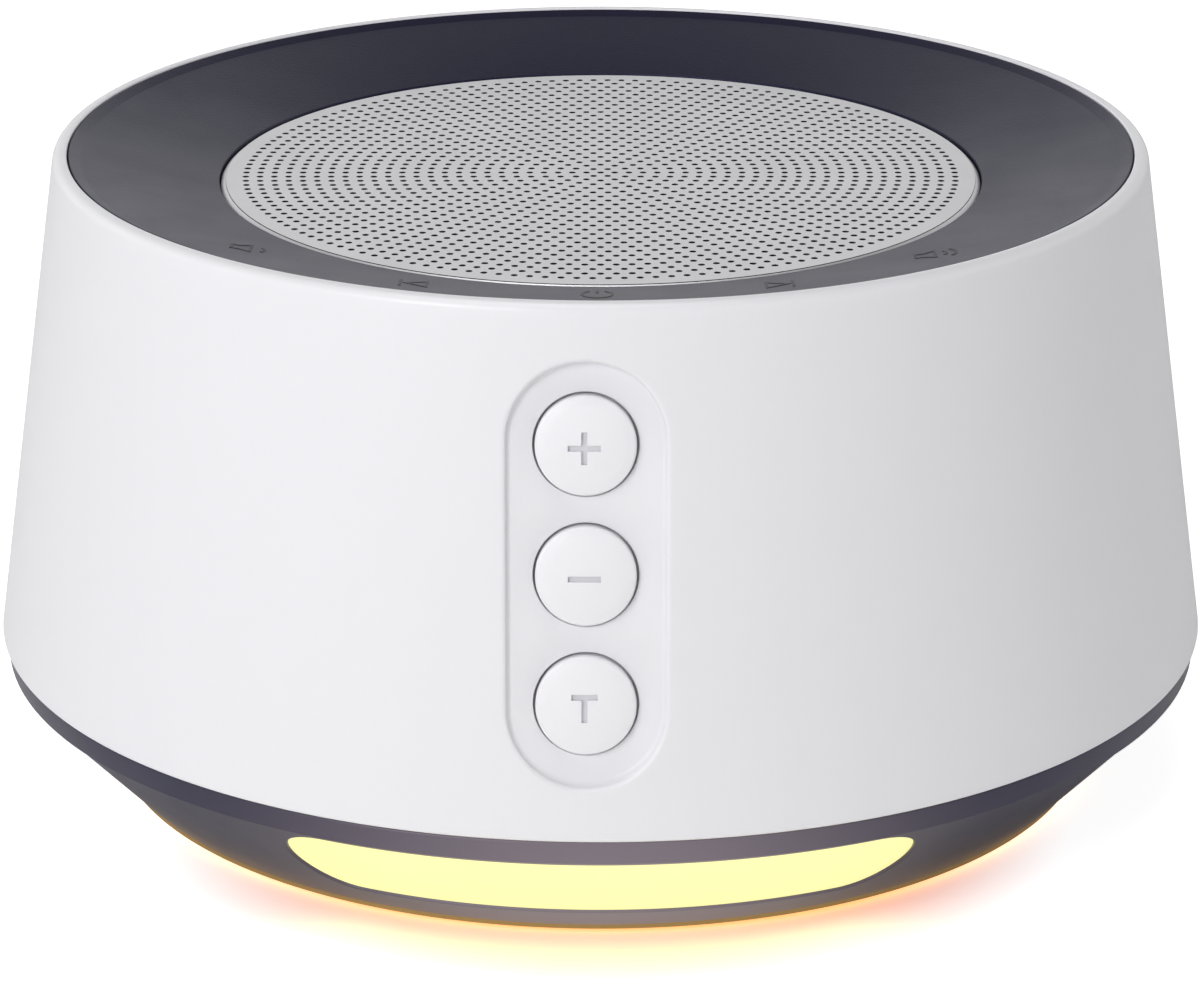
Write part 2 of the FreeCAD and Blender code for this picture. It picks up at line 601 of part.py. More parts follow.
def touch_parts():
    """Board under the dish's front with one pad behind each of the five marks."""
    inner = f"({RIB} + touch_gap)"
    level = f"({RIB_UNDER} - touch_drop - board_thick)"
    body = new_body("touch_board")
    board = new_sketch(body, "Board_outline", "XZ_Plane")
    outline(board, [(inner, level), (f"{inner} + touch_width", level),
                    (f"{inner} + touch_width", f"{level} + board_thick"), (inner, f"{level} + board_thick")])
    sweep = body.newObject("PartDesign::Revolution", "Board")
    sweep.Profile = board
    sweep.ReferenceAxis = (board, ["V_Axis"])
    bind(sweep, "Angle", "2 * touch_angle")
    doc.recompute()
    turn_body(body, -90 - value(body, "touch_angle"))
    body = new_body("touch_pads", several=True)
    pads = new_sketch(body, "Pads_outline", "XY_Plane", lift=f"{level} + board_thick")
    middle = f"({inner} + touch_pad + touch_gap)"
    for step in (-2, -1, 0, 1, 2):
        turn = f"({step} * touch_mark)"
        circle(pads, f"{middle} * sin{turn}", f"-{middle} * cos{turn}", "touch_pad")
    extruded(body, "Pads", pads, "touch_drop")


def button(name, along):
    """Domed cap whose lip stays behind the well's floor, and the plunger of its switch."""
    body = new_body("button_" + name)
    top = "(button_rise - well_depth)"
    rim = "button_width / 2"
    lip = "button_width / 2 + button_lip"
    sketch = new_sketch(body, "Cap_profile", "XZ_Plane")
    turned_corners = [("0", f"-{LIP_BACK}"), (lip, f"-{LIP_BACK}"), (lip, f"-{LIP_FRONT}"),
                      (rim, f"-{LIP_FRONT}"), (rim, top), ("dome_shoulder", f"{top} + dome_step"),
                      ("0", f"{top} + button_dome")]
    outline(sketch, turned_corners)
    cap = body.newObject("PartDesign::Revolution", "Cap")
    cap.Profile = sketch
    cap.ReferenceAxis = (sketch, ["V_Axis"])
    cap.Angle = 360
    on_wall(body, "Placement", "0", along)
    body = new_body("plunger_" + name)
    sketch = new_sketch(body, "Plunger_outline", "XY_Plane", lift=f"-({SWITCH_FACE} + plunger_bite)")
    circle(sketch, "0", "0", "plunger_radius")
    extruded(body, "Plunger", sketch, f"{SWITCH_FACE} + plunger_bite - {LIP_BACK}")
    on_wall(body, "Placement", "0", along)


def button_panel():
    """Board behind the buttons, with three switches and two screws."""
    body = new_body("button_board")
    board = new_sketch(body, "Board_outline", "XY_Plane", lift=f"-({PANEL_FRONT} + board_thick)")
    rectangle(board, "0", "0", f"2 * ({POST_REACH} + post_radius)", "panel_length")
    for side in ("-", ""):
        circle(board, side + POST_REACH, "0", "panel_shank + screw_play")
    extruded(body, "Board", board, "board_thick")
    on_wall(body, "Placement", "0")
    body = new_body("button_switches", several=True)
    cases = new_sketch(body, "Cases_outline", "XY_Plane", lift=f"-({PANEL_FRONT})")
    for along in ("-button_pitch", "0", "button_pitch"):
        rectangle(cases, "0", along, "switch_width", "switch_width")
    extruded(body, "Cases", cases, "switch_height")
    bores = new_sketch(body, "Bores_outline", "XY_Plane", lift=f"-({SWITCH_FACE})")
    for along in ("-button_pitch", "0", "button_pitch"):
        circle(bores, "0", along, "plunger_radius + plunger_play")
    extruded(body, "Bores", bores, "plunger_bite + button_travel + button_rest", "Pocket")
    on_wall(body, "Placement", "0")
    body = new_body("panel_screws", several=True)
    heads = new_sketch(body, "Heads_outline", "XY_Plane", lift=f"-({PANEL_FRONT} + board_thick)")
    shanks = new_sketch(body, "Shanks_outline", "XY_Plane", lift=f"-({PANEL_FRONT} + board_thick)")
    for side in ("-", ""):
        circle(heads, side + POST_REACH, "0", "panel_head")
        circle(shanks, side + POST_REACH, "0", "panel_shank")
    extruded(body, "Heads", heads, "panel_cap", reverse=True)
    extruded(body, "Shanks", shanks, "board_thick + switch_height")
    on_wall(body, "Placement", "0")


def base_bowl():
    """Flared bowl with an upright band, an inner flange and the lamp's window."""
    body = new_body("base_bowl")
    turned(body, "Side", [
        (f"{CONE_TOP} + band_draft", BOWL_TOP),
        (CONE_TOP, BAND_LOW),
        (BOWL_RADIUS, "foot_height"),
        (f"{BOWL_RADIUS} - {BOWL_SKIN}", "foot_height"),
        (f"{CONE_TOP} - {BOWL_SKIN}", BAND_LOW),
        (f"{CONE_TOP} - {BOWL_SKIN}", f"{BOWL_TOP} - flange_thick"),
        (f"shell_radius - {SHELL_SKIN} - flange_width", f"{BOWL_TOP} - flange_thick"),
        (f"shell_radius - {SHELL_SKIN} - flange_width", BOWL_TOP),
    ])
    window = new_sketch(body, "Window_outline", "XZ_Plane")
    stadium(window, "0", "foot_height + lens_low + lens_tall / 2",
            "lens_half - lens_tall / 2", "lens_tall / 2", False)
    extruded(body, "Window", window, "shell_radius", "Pocket", reverse=True)
    holes = new_sketch(body, "Screw_outline", "XY_Plane", lift=BOWL_TOP)
    circle(holes, BOSS_STEP, BOSS_STEP, "screw_shank + screw_play")
    around(body, extruded(body, "Screw_hole", holes, "flange_thick", "Pocket"), CORNERS)


def light_diffuser():
    """Translucent liner of the bowl: the lens fills the window and a lip shows below."""
    body = new_body("light_diffuser")
    window = new_sketch(body, "Lens_outline", "XZ_Plane")
    stadium(window, "0", "foot_height + lens_low + lens_tall / 2",
            "lens_half - lens_tall / 2", "lens_tall / 2 - lens_play", False)
    extruded(body, "Lens", window, "shell_radius")
    face = f"({BOWL_RADIUS} - lens_inset)"
    skin = f"({BOWL_RADIUS} - {BOWL_SKIN} - lens_play)"
    inner = f"({skin} - diffuser_wall / cos(bowl_flare))"
    high = "(bowl_cone * tan(bowl_flare))"
    turned(body, "Lens_face", [
        (face, "foot_height"),
        (f"{face} + {high}", BAND_LOW),
        ("2 * shell_radius", BAND_LOW),
        ("2 * shell_radius", "foot_height"),
    ], "Groove")
    turned(body, "Lens_back", [
        ("0", "foot_height"),
        (f"({skin} + {inner}) / 2", "foot_height"),
        (f"({skin} + {inner}) / 2 + {high}", BAND_LOW),
        ("0", BAND_LOW),
    ], "Groove")
    rise = "(diffuser_top * tan(bowl_flare))"
    turned(body, "Liner", [
        (skin, "foot_height"),
        (f"{skin} + {rise}", "foot_height + diffuser_top"),
        (f"{inner} + {rise}", "foot_height + diffuser_top"),
        (inner, "foot_height"),
        (inner, "foot_height - diffuser_lip"),
        (face, "foot_height - diffuser_lip"),
        (face, "foot_height"),
    ])


def base_plate():
    """Round plate with recesses for the feet and pillars that carry the main board."""
    body = new_body("base_plate")
    turned(body, "Plate", [("0", "plate_rise"), (PLATE_EDGE, "plate_rise"),
                           (PLATE_EDGE, PLATE_TOP), ("0", PLATE_TOP)])
    pillar = new_sketch(body, "Pillar_outline", "XY_Plane", lift=PLATE_TOP)
    circle(pillar, PILLAR_STEP, PILLAR_STEP, "pillar_radius")
    around(body, extruded(body, "Pillar", pillar, f"{BOARD_LOW} - {PLATE_TOP}"), CORNERS)
    pilot = new_sketch(body, "Pilot_outline", "XY_Plane", lift=BOARD_LOW)
    circle(pilot, PILLAR_STEP, PILLAR_STEP, "screw_shank")
    around(body, extruded(body, "Pilot", pilot, "board_level", "Pocket"), CORNERS)
    recess = new_sketch(body, "Recess_outline", "XY_Plane", lift="plate_rise")
    circle(recess, FOOT_RING, "0", "foot_radius + lens_play")
    around(body, extruded(body, "Recess", recess, "foot_recess", "Pocket", reverse=True), CORNERS)


def rubber_feet():
    """Four round feet in the base plate's recesses."""
    body = new_body("rubber_feet", several=True)
    foot = new_sketch(body, "Foot_outline", "XY_Plane")
    circle(foot, FOOT_RING, "0", "foot_radius")
    around(body, extruded(body, "Foot", foot, "plate_rise + foot_recess"), CORNERS)


def main_board():
    """Main circuit board with a tongue to the socket, and its larger components."""
    wall = f"(shell_radius - ({BOARD_TOP} - {BOWL_TOP}) * tan(shell_taper) - {SHELL_SKIN})"
    socket_face = f"({wall} - socket_inset)"
    body = new_body("main_board")
    board = new_sketch(body, "Board_outline", "XY_Plane", lift=BOARD_LOW)
    half, tongue = f"({PILLAR_STEP} + board_margin)", "tongue_width / 2"
    tip = f"{socket_face} - socket_inset"
    outline(board, [(f"-{half}", f"-{half}"), (half, f"-{half}"), (half, half), (tongue, half),
                    (tongue, tip), (f"-{tongue}", tip), (f"-{tongue}", half), (f"-{half}", half)])
    extruded(body, "Board", board, "board_thick")
    hole = new_sketch(body, "Screw_outline", "XY_Plane", lift=BOARD_TOP)
    circle(hole, PILLAR_STEP, PILLAR_STEP, "screw_shank + screw_play")
    around(body, extruded(body, "Screw_hole", hole, "board_thick", "Pocket"), CORNERS)

    body = new_body("board_components", several=True)
    chips = new_sketch(body, "Chips_outline", "XY_Plane", lift=BOARD_TOP)
    rectangle(chips, f"-{PILLAR_STEP} / 2", f"{PILLAR_STEP} / 2", "chip_side", "chip_side")
    rectangle(chips, f"{PILLAR_STEP} / 2", f"-{PILLAR_STEP} / 2", "coil_side", "coil_side")
    extruded(body, "Chips", chips, "chip_rise")
    tall = new_sketch(body, "Capacitor_outline", "XY_Plane", lift=BOARD_TOP)
    circle(tall, f"{half} - chip_gap - can_radius", "0", "can_radius")
    rectangle(tall, f"-({half} - chip_gap - coil_side / 2)", "0", "coil_side", "coil_side")
    extruded(body, "Capacitor", tall, "can_height")

    body = new_body("power_socket")
    mouth = new_sketch(body, "Shell_outline", "XZ_Plane", lift=f"-{socket_face}")
    middle = f"{BOARD_TOP} + socket_height / 2"
    stadium(mouth, "0", middle, "(socket_width - socket_height) / 2", "socket_height / 2", False)
    extruded(body, "Shell", mouth, "socket_depth")
    room = new_sketch(body, "Mouth_outline", "XZ_Plane", lift=f"-{socket_face}")
    stadium(room, "0", middle, "(socket_width - socket_height) / 2",
            "socket_height / 2 - socket_shell", False)
    extruded(body, "Mouth", room, "socket_depth - 2 * socket_shell", "Pocket", reverse=True)
    blade = new_sketch(body, "Blade_outline", "XZ_Plane", lift=f"-({socket_face} - 2 * socket_shell)")
    rectangle(blade, "0", middle, "socket_width - socket_height", "2 * socket_shell")
    extruded(body, "Blade", blade, "socket_depth - 3 * socket_shell")


def lamp_board():
    """Eight-sided ring board that carries the diodes, on the base pillars."""
    body = new_body("lamp_board")
    level = f"({PLATE_TOP} + lamp_level)"
    board = new_sketch(body, "Board_outline", "XY_Plane", lift=level)
    for corner in (f"({LAMP_INNER} + lamp_width)", LAMP_INNER):
        outline(board, [(f"{corner} * cos({45 * k})", f"{corner} * sin({45 * k})") for k in range(8)])
    extruded(body, "Board", board, "board_thick")
    hole = new_sketch(body, "Pillar_outline", "XY_Plane", lift=f"{level} + board_thick")
    circle(hole, PILLAR_STEP, PILLAR_STEP, "pillar_radius + lens_play")
    around(body, extruded(body, "Pillar_hole", hole, "board_thick", "Pocket"), CORNERS)
    body = new_body("lamp_diodes", several=True)
    diode = new_sketch(body, "Diode_outline", "XY_Plane", lift=f"{level} + board_thick")
    rectangle(diode, LAMP_RING, "0", "lamp_side", "lamp_side")
    around(body, extruded(body, "Diode", diode, "lamp_rise"), "lamp_count")


outer_shell()
top_dish()
speaker_grille()
grille_cloth()
speaker_basket()
speaker_parts()
screw_set("speaker_screws", SPEAKER_SCREW_RING, f"{MOUNT} - driver_frame",
          "(driver_frame + mount_drop - screw_play)", False)
touch_parts()
button("brighter", "button_pitch")
button("dimmer", "0")
button("timer", "-button_pitch")
button_panel()
base_bowl()
light_diffuser()
base_plate()
rubber_feet()
screw_set("case_screws", BOSS_RING, f"{BOWL_TOP} - flange_thick", "(flange_thick + boss_height / 2)", False)
main_board()
screw_set("board_screws", PILLAR_RING, BOARD_TOP, "(board_thick + board_level - screw_play)", True)
lamp_board()
doc.recompute()

faults = []
for item in doc.Objects:
    if "Invalid" in item.State or "Error" in item.State:
        faults.append(item.Name)
for item in parts:
    if item.Shape.isNull() or not item.Shape.isValid():
        faults.append(item.Label)
if faults:
    raise RuntimeError("failed: " + ", ".join(faults))
os.makedirs("parts", exist_ok=True)
for item in parts:
    item.Shape.exportStep(f"parts/{item.Label}.step")
    print(item.Label, len(item.Shape.Solids), round(item.Shape.Volume, 2))
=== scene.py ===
# %% [markdown]
# # White noise sound machine
# A small round bedside machine: a white tapered shell with a dished dark top, a perforated
# speaker grille, a well with three push buttons, and a flared dark bowl with a night light.
# The construction is already modelled at its real size and loaded here as a fixed frame.
# This lesson dresses it. Every size below is read from that frame or is a real size in
# millimetres, and every finished piece keeps its object at the origin.

import math

import bmesh
import bpy
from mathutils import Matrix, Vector


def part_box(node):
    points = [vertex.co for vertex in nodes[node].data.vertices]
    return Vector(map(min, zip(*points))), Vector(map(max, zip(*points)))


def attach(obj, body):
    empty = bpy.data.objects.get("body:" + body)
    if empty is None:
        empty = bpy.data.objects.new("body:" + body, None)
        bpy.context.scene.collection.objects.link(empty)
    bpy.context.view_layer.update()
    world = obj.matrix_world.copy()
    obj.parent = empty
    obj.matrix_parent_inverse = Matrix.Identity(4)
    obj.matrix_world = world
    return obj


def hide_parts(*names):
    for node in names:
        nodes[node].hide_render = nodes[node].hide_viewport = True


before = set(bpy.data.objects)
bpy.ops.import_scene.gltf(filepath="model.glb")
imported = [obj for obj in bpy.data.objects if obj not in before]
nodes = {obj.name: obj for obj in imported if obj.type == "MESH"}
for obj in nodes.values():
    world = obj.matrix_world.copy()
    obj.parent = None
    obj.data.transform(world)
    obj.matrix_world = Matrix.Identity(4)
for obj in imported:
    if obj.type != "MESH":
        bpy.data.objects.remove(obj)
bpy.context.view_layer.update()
print("pieces in the frame:", len(nodes))

# %% [markdown]
# ## Sizes
# The looks must sit exactly on the construction, so the main levels and radii come from the
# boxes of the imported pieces. Only what the boxes don't tell, such as a wall's thickness or
# the rounding of an edge, is written here. Working in millimetres keeps the numbers
# readable, and one function turns them into metres when a mesh is made.

# %% Sizes read from the frame
MM = 1000


def corners(name):
    """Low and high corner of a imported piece's box, in millimetres."""
    low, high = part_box(name)
    return low * MM, high * MM


shell_low, shell_high = corners("outer_shell")
bowl_low, bowl_high = corners("base_bowl")
dish_low, dish_high = corners("top_dish")
grille_low, grille_high = corners("speaker_grille")
TAPER = math.radians(7.9)
SHELL_RADIUS = shell_high.x
BOWL_TOP = bowl_high.z
RIM = shell_high.z
RIM_RADIUS = SHELL_RADIUS - (RIM - BOWL_TOP) * math.tan(TAPER)
SHELL_WALL = 2.2
DISH_RADIUS = dish_high.x
DISH_TOP = dish_high.z
GRILLE_RADIUS = grille_high.x
GRILLE_TOP = grille_high.z
GRILLE_THICK = grille_high.z - grille_low.z
BOWL_RADIUS = 44.9
BOWL_LOW = bowl_low.z
BAND_HEIGHT = 2.2
BAND_LOW = BOWL_TOP - BAND_HEIGHT
FLARE = math.radians(43.3)
CONE_TOP = BOWL_RADIUS + (BAND_LOW - BOWL_LOW) * math.tan(FLARE)
print("shell radius", round(SHELL_RADIUS, 2), "rim radius", round(RIM_RADIUS, 2), "height", round(RIM, 2))

# %% [markdown]
# ## Making a mesh
# A shape that follows a formula is easiest to write as lists of points and faces. One helper
# turns the lists into a piece: it merges doubles, turns the faces outwards, shades smoothly
# across gentle bends and keeps true corners sharp.

# %% Helper for pieces
SEGMENTS = 360
MERGE = 1e-6


def make_piece(name, points, faces, material, slot, body="housing", sharp=32):
    """A finished piece from points in millimetres, riding on its body."""
    mesh = bpy.data.meshes.new(name)
    mesh.from_pydata([Vector(point) / MM for point in points], [], faces)
    shape = bmesh.new()
    shape.from_mesh(mesh)
    bmesh.ops.remove_doubles(shape, verts=shape.verts, dist=MERGE)
    bmesh.ops.recalc_face_normals(shape, faces=shape.faces)
    shape.to_mesh(mesh)
    shape.free()
    mesh.polygons.foreach_set("use_smooth", [True] * len(mesh.polygons))
    mesh.set_sharp_from_angle(angle=math.radians(sharp))
    piece = bpy.data.objects.new(name, mesh)
    bpy.context.scene.collection.objects.link(piece)
    piece.data.materials.append(material)
    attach(piece, body)
    print(name, "faces:", len(mesh.polygons))
    return piece


print("columns in a turned piece:", SEGMENTS)

# %% [markdown]
# Most of the machine is round, so most pieces start as an outline that is turned about the
# upright axis. A moulded edge always has a small radius that catches the light, so each
# corner of an outline carries its own rounding. The Screw modifier could do the turning, but
# a plain grid of points lets a wall leave out a window for a pocket.

# %% Helpers for outlines
def rounded(outline, steps=6):
    """A closed outline of (radius, height, rounding) with an arc at each rounded corner."""
    line = []
    for i, (radius, height, bend) in enumerate(outline):
        here = Vector((radius, height))
        if bend <= 0:
            line.append(tuple(here))
            continue
        back = (Vector(outline[i - 1][:2]) - here).normalized()
        ahead = (Vector(outline[(i + 1) % len(outline)][:2]) - here).normalized()
        half = back.angle(ahead) / 2
        centre = here + (back + ahead).normalized() * bend / math.sin(half)
        start = here + back * bend / math.tan(half) - centre
        end = here + ahead * bend / math.tan(half) - centre
        for k in range(steps + 1):
            arm = start.lerp(end, k / steps).normalized() * bend
            line.append(tuple(centre + arm))
    return line


def divided(line, first, rows):
    """Splits the stretch after point number first into rows equal steps."""
    a, b = Vector(line[first]), Vector(line[(first + 1) % len(line)])
    extra = [tuple(a.lerp(b, k / rows)) for k in range(1, rows)]
    return line[:first + 1] + extra + line[first + 1:]


def turn_grid(line):
    """Points of a turned outline, row by row, first column towards +X."""
    points = []
    for radius, height in line:
        for k in range(SEGMENTS):
            angle = 2 * math.pi * k / SEGMENTS
            points.append(Vector((radius * math.cos(angle), radius * math.sin(angle), height)))
    return points


def turn_faces(rows, skip=()):
    """Quads between the rows, apart from the windows given as (row, row, column, column)."""
    faces = []
    for i in range(rows):
        for k in range(SEGMENTS):
            hole = any(low <= i < high and left <= k < right for low, high, left, right in skip)
            if not hole:
                j, n = (i + 1) % rows, (k + 1) % SEGMENTS
                faces.append((i * SEGMENTS + k, i * SEGMENTS + n, j * SEGMENTS + n, j * SEGMENTS + k))
    return faces


def lathe(name, outline, material, slot, steps=6):
    """A turned piece from an outline of (radius, height, rounding)."""
    line = rounded(outline, steps)
    return make_piece(name, turn_grid(line), turn_faces(len(line)), material, slot)


TRIAL = ((0, 0, 1), (9, 0, 1), (9, 9, 1), (0, 9, 1))
print("points in a rounded square:", len(rounded(TRIAL)))

# %% [markdown]
# ## A rounded pocket in a curved wall
# The button well and the lamp window are rounded slots in tapered walls. A boolean would
# leave long thin faces that shade badly, so the wall leaves a rectangular window in its grid,
# and rings of quads run from that window's border to the slot. Each border point moves to the
# nearest point of a stadium: a straight spine with a radius round it. Two functions tie the
# flat picture of the slot to the wall: flat gives a point's place across and up the wall, and
# lift puts such a place back, at a depth.

# %% Helper for pockets
EDGE_STEPS = 6
SKIRT_SHARES = (0.35, 0.65, 0.85, 0.95)


def bridge(faces, one, other):
    """Quads between two closed rings that have as many points."""
    for k in range(len(one)):
        n = (k + 1) % len(one)
        faces.append((one[k], one[n], other[n], other[k]))


def border(window):
    """The grid's points round a window, from its first row."""
    low, high, left, right = window
    step = 1 if high > low else -1
    around = [(low, k) for k in range(left, right)] + [(j, right) for j in range(low, high, step)]
    around += [(high, k) for k in range(right, left, -1)] + [(j, left) for j in range(high, low, -step)]
    return [row * SEGMENTS + column % SEGMENTS for row, column in around]


def nearest(places, spine):
    """Each place's foot on the spine, and its direction from there."""
    feet, ways = [], []
    for place in places:
        share = max(-1.0, min(1.0, place.dot(spine) / spine.length_squared))
        feet.append(spine * share)
        ways.append((place - feet[-1]).normalized())
    return feet, ways


def pocket(points, faces, window, flat, lift, spine, radius, edge, levels):
    """Rings from the window's border over a rounded edge and down the levels (offset, depth)."""
    before = border(window)
    places = [flat(points[index]) for index in before]
    feet, ways = nearest(places, spine)
    outer = radius + edge
    rows = [[(place.lerp(foot + way * outer, share), 0.0) for place, foot, way in zip(places, feet, ways)]
            for share in SKIRT_SHARES]
    turns = [math.pi / 2 * k / EDGE_STEPS for k in range(EDGE_STEPS + 1)]
    steps = [(edge * (1 - math.sin(a)), edge * (1 - math.cos(a))) for a in turns]
    for offset, depth in steps + levels:
        rows.append([(foot + way * (radius + offset), depth) for foot, way in zip(feet, ways)])
    for row in rows:
        first = len(points)
        points.extend(lift(place, depth) for place, depth in row)
        now = list(range(first, first + len(row)))
        bridge(faces, before, now)
        before = now
    return before


print("rings from a window to its pocket:", len(SKIRT_SHARES) + EDGE_STEPS + 1)

# %% [markdown]
# ## Shared surface effects
# Moulded plastic is never perfectly even: it has a fine spark-eroded grain, and its tone
# drifts a little. Several finishes need that, so both effects live in one node group with
# named inputs, built once. It gives out a tone mask and a grain height, and each material
# uses them with its own numbers. Noise is chosen over an image because it has no seams.

# %% Node groups
RUB_SCALE = 160.0


def new_group(name, inputs, outputs):
    """An empty shader group with named number inputs and outputs."""
    group = bpy.data.node_groups.new(name, "ShaderNodeTree")
    for label, default in inputs:
        socket = group.interface.new_socket(label, in_out="INPUT", socket_type="NodeSocketFloat")
        socket.default_value = default
    for label, kind in outputs:
        group.interface.new_socket(label, in_out="OUTPUT", socket_type=kind)
    start = group.nodes.new("NodeGroupInput")
    end = group.nodes.new("NodeGroupOutput")
    return group, start, end


def moulded_surface_group():
    """Three noises over the surface: tone, grain and polish."""
    group, start, end = new_group(
        "moulded_surface",
        [("Grain Scale", 4000.0), ("Cloud Scale", 30.0)],
        [("Tone", "NodeSocketFloat"), ("Grain", "NodeSocketFloat"), ("Polish", "NodeSocketFloat")])
    place = group.nodes.new("ShaderNodeTexCoord")
    grain = group.nodes.new("ShaderNodeTexNoise")
    grain.inputs["Detail"].default_value = 2.0
    clouds = group.nodes.new("ShaderNodeTexNoise")
    clouds.inputs["Detail"].default_value = 3.0
    rub = group.nodes.new("ShaderNodeTexNoise")
    rub.inputs["Scale"].default_value = RUB_SCALE
    rub.inputs["Detail"].default_value = 4.0
    for texture in (grain, clouds, rub):
        group.links.new(place.outputs["Object"], texture.inputs["Vector"])
    group.links.new(start.outputs["Grain Scale"], grain.inputs["Scale"])
    group.links.new(start.outputs["Cloud Scale"], clouds.inputs["Scale"])
    group.links.new(clouds.outputs["Fac"], end.inputs["Tone"])
    group.links.new(grain.outputs["Fac"], end.inputs["Grain"])
    group.links.new(rub.outputs["Fac"], end.inputs["Polish"])
    return group


MOULDED = moulded_surface_group()
print("node group:", MOULDED.name)

# %% [markdown]
# ## Finishes
# One function builds a finish from its colour, roughness and grain, so that every part of the
# machine has a real surface and not a flat colour. The tone mask mixes a slightly darker and
# a slightly lighter version of the colour, the polish mask moves the roughness, and the grain
# drives a bump. What is the same all over, such as metallic, stays on the shader. The lamp's
# finishes give out light, weaker where the camera looks straight at them, so that they keep
# their yellow and still light the plastic beside them.

# %% Finishes
def finish(name, colour, rough=0.4, spread=0.03, grain=4000.0, bump=0.05, depth=0.00002,
           rough_spread=0.05, clouds=30.0, metallic=0.0, glow=0.0, unseen=0.0, tint=(1.0, 1.0, 1.0)):
    """A procedural material; a lit one is weaker for the camera than for what it lights."""
    material = bpy.data.materials.new(name)
    material.use_nodes = True
    tree = material.node_tree
    shader = tree.nodes["Principled BSDF"]
    shader.inputs["Metallic"].default_value = metallic
    shader.inputs["Specular Tint"].default_value = (*tint, 1)
    surface = tree.nodes.new("ShaderNodeGroup")
    surface.node_tree = MOULDED
    surface.inputs["Grain Scale"].default_value = grain
    surface.inputs["Cloud Scale"].default_value = clouds
    tones = tree.nodes.new("ShaderNodeMix")
    tones.data_type = "RGBA"
    tones.inputs["A"].default_value = (*[c * (1 - spread) for c in colour], 1)
    tones.inputs["B"].default_value = (*[min(1.0, c * (1 + spread)) for c in colour], 1)
    polish = tree.nodes.new("ShaderNodeMapRange")
    polish.inputs["To Min"].default_value = rough - rough_spread
    polish.inputs["To Max"].default_value = rough + rough_spread
    height = tree.nodes.new("ShaderNodeBump")
    height.inputs["Strength"].default_value = bump
    height.inputs["Distance"].default_value = depth
    tree.links.new(surface.outputs["Tone"], tones.inputs["Factor"])
    tree.links.new(tones.outputs["Result"], shader.inputs["Base Color"])
    tree.links.new(surface.outputs["Polish"], polish.inputs["Value"])
    tree.links.new(polish.outputs["Result"], shader.inputs["Roughness"])
    tree.links.new(surface.outputs["Grain"], height.inputs["Height"])
    tree.links.new(height.outputs["Normal"], shader.inputs["Normal"])
    if glow:
        seen = tree.nodes.new("ShaderNodeLightPath")
        level = tree.nodes.new("ShaderNodeMapRange")
        level.inputs["To Min"].default_value = unseen
        level.inputs["To Max"].default_value = glow
        tree.links.new(tones.outputs["Result"], shader.inputs["Emission Color"])
        tree.links.new(seen.outputs["Is Camera Ray"], level.inputs["Value"])
        tree.links.new(level.outputs["Result"], shader.inputs["Emission Strength"])
    return material


WHITE = finish("white_plastic", (0.80, 0.795, 0.825), rough=0.34, spread=0.008, bump=0.10)
# Painted shade for the signs' recesses: a darker copy of the cap's white.
PAINTED_SIGN_SHADE = finish("sign_recess_painted_shade", (0.68, 0.675, 0.71), rough=0.5, spread=0.02)
CAP_WHITE = finish("cap_plastic", (0.84, 0.835, 0.865), rough=0.32, spread=0.006, bump=0.04,
                   rough_spread=0.02)
DISH = finish("soft_touch", (0.011, 0.0105, 0.028), rough=0.40, spread=0.10, grain=5200.0,
              bump=0.55, depth=0.00004, clouds=60.0, tint=(0.46, 0.44, 0.70))
# The bowl's plastic also carries a painted warm glow round the lamp window, added further down.
BOWL = finish("bowl_plastic_painted_halo", (0.028, 0.026, 0.045), rough=0.36, spread=0.06, bump=0.12,
              tint=(0.78, 0.74, 1.0))
SILVER = finish("blasted_aluminium", (0.76, 0.755, 0.775), rough=0.42, spread=0.03, grain=7000.0,
                bump=0.25, metallic=0.55)
CLOTH = finish("acoustic_cloth", (0.006, 0.006, 0.007), rough=0.9, spread=0.3, grain=2500.0, bump=0.8)
LAMP = finish("lit_diffuser", (0.28, 0.26, 0.12), rough=0.45, spread=0.02, glow=3.0, unseen=4.0)
GLOW = finish("lit_lip", (0.28, 0.17, 0.055), rough=0.45, spread=0.02, glow=0.22, unseen=2.4)
MARK = finish("mark_ink", (0.012, 0.011, 0.016), rough=0.5, spread=0.1)
STEEL = finish("zinc_plate", (0.60, 0.60, 0.61), rough=0.32, spread=0.08, metallic=1.0)
RUBBER = finish("foot_rubber", (0.022, 0.022, 0.023), rough=0.75, spread=0.2, bump=0.5)
PLATE = finish("base_plastic", (0.045, 0.043, 0.055), rough=0.5, spread=0.08, grain=2600.0, bump=0.5)
PAPER = finish("cone_paper", (0.02, 0.02, 0.02), rough=0.8, spread=0.3, grain=1500.0, bump=0.8)
FERRITE = finish("ferrite", (0.05, 0.05, 0.055), rough=0.6, spread=0.2)
COPPER = finish("coil_copper", (0.72, 0.36, 0.18), rough=0.35, spread=0.1, metallic=1.0)
GREEN = finish("solder_mask", (0.02, 0.15, 0.06), rough=0.3, spread=0.15)
PALE = finish("lamp_board_white", (0.78, 0.78, 0.74), rough=0.35, spread=0.03)
# Black for the switches and board parts, and painted shade on the walls of the grille's holes.
BLACK_AND_HOLE_SHADE = finish("switch_black", (0.02, 0.02, 0.02), rough=0.45, spread=0.2)
print("finishes:", len(bpy.data.materials))

# %% [markdown]
# ## Pieces kept from the construction
# What is hidden or plain is already right in shape, so it only gets its finish. Each group
# of pieces shares one. Doing this first means that nothing is left in a default grey.

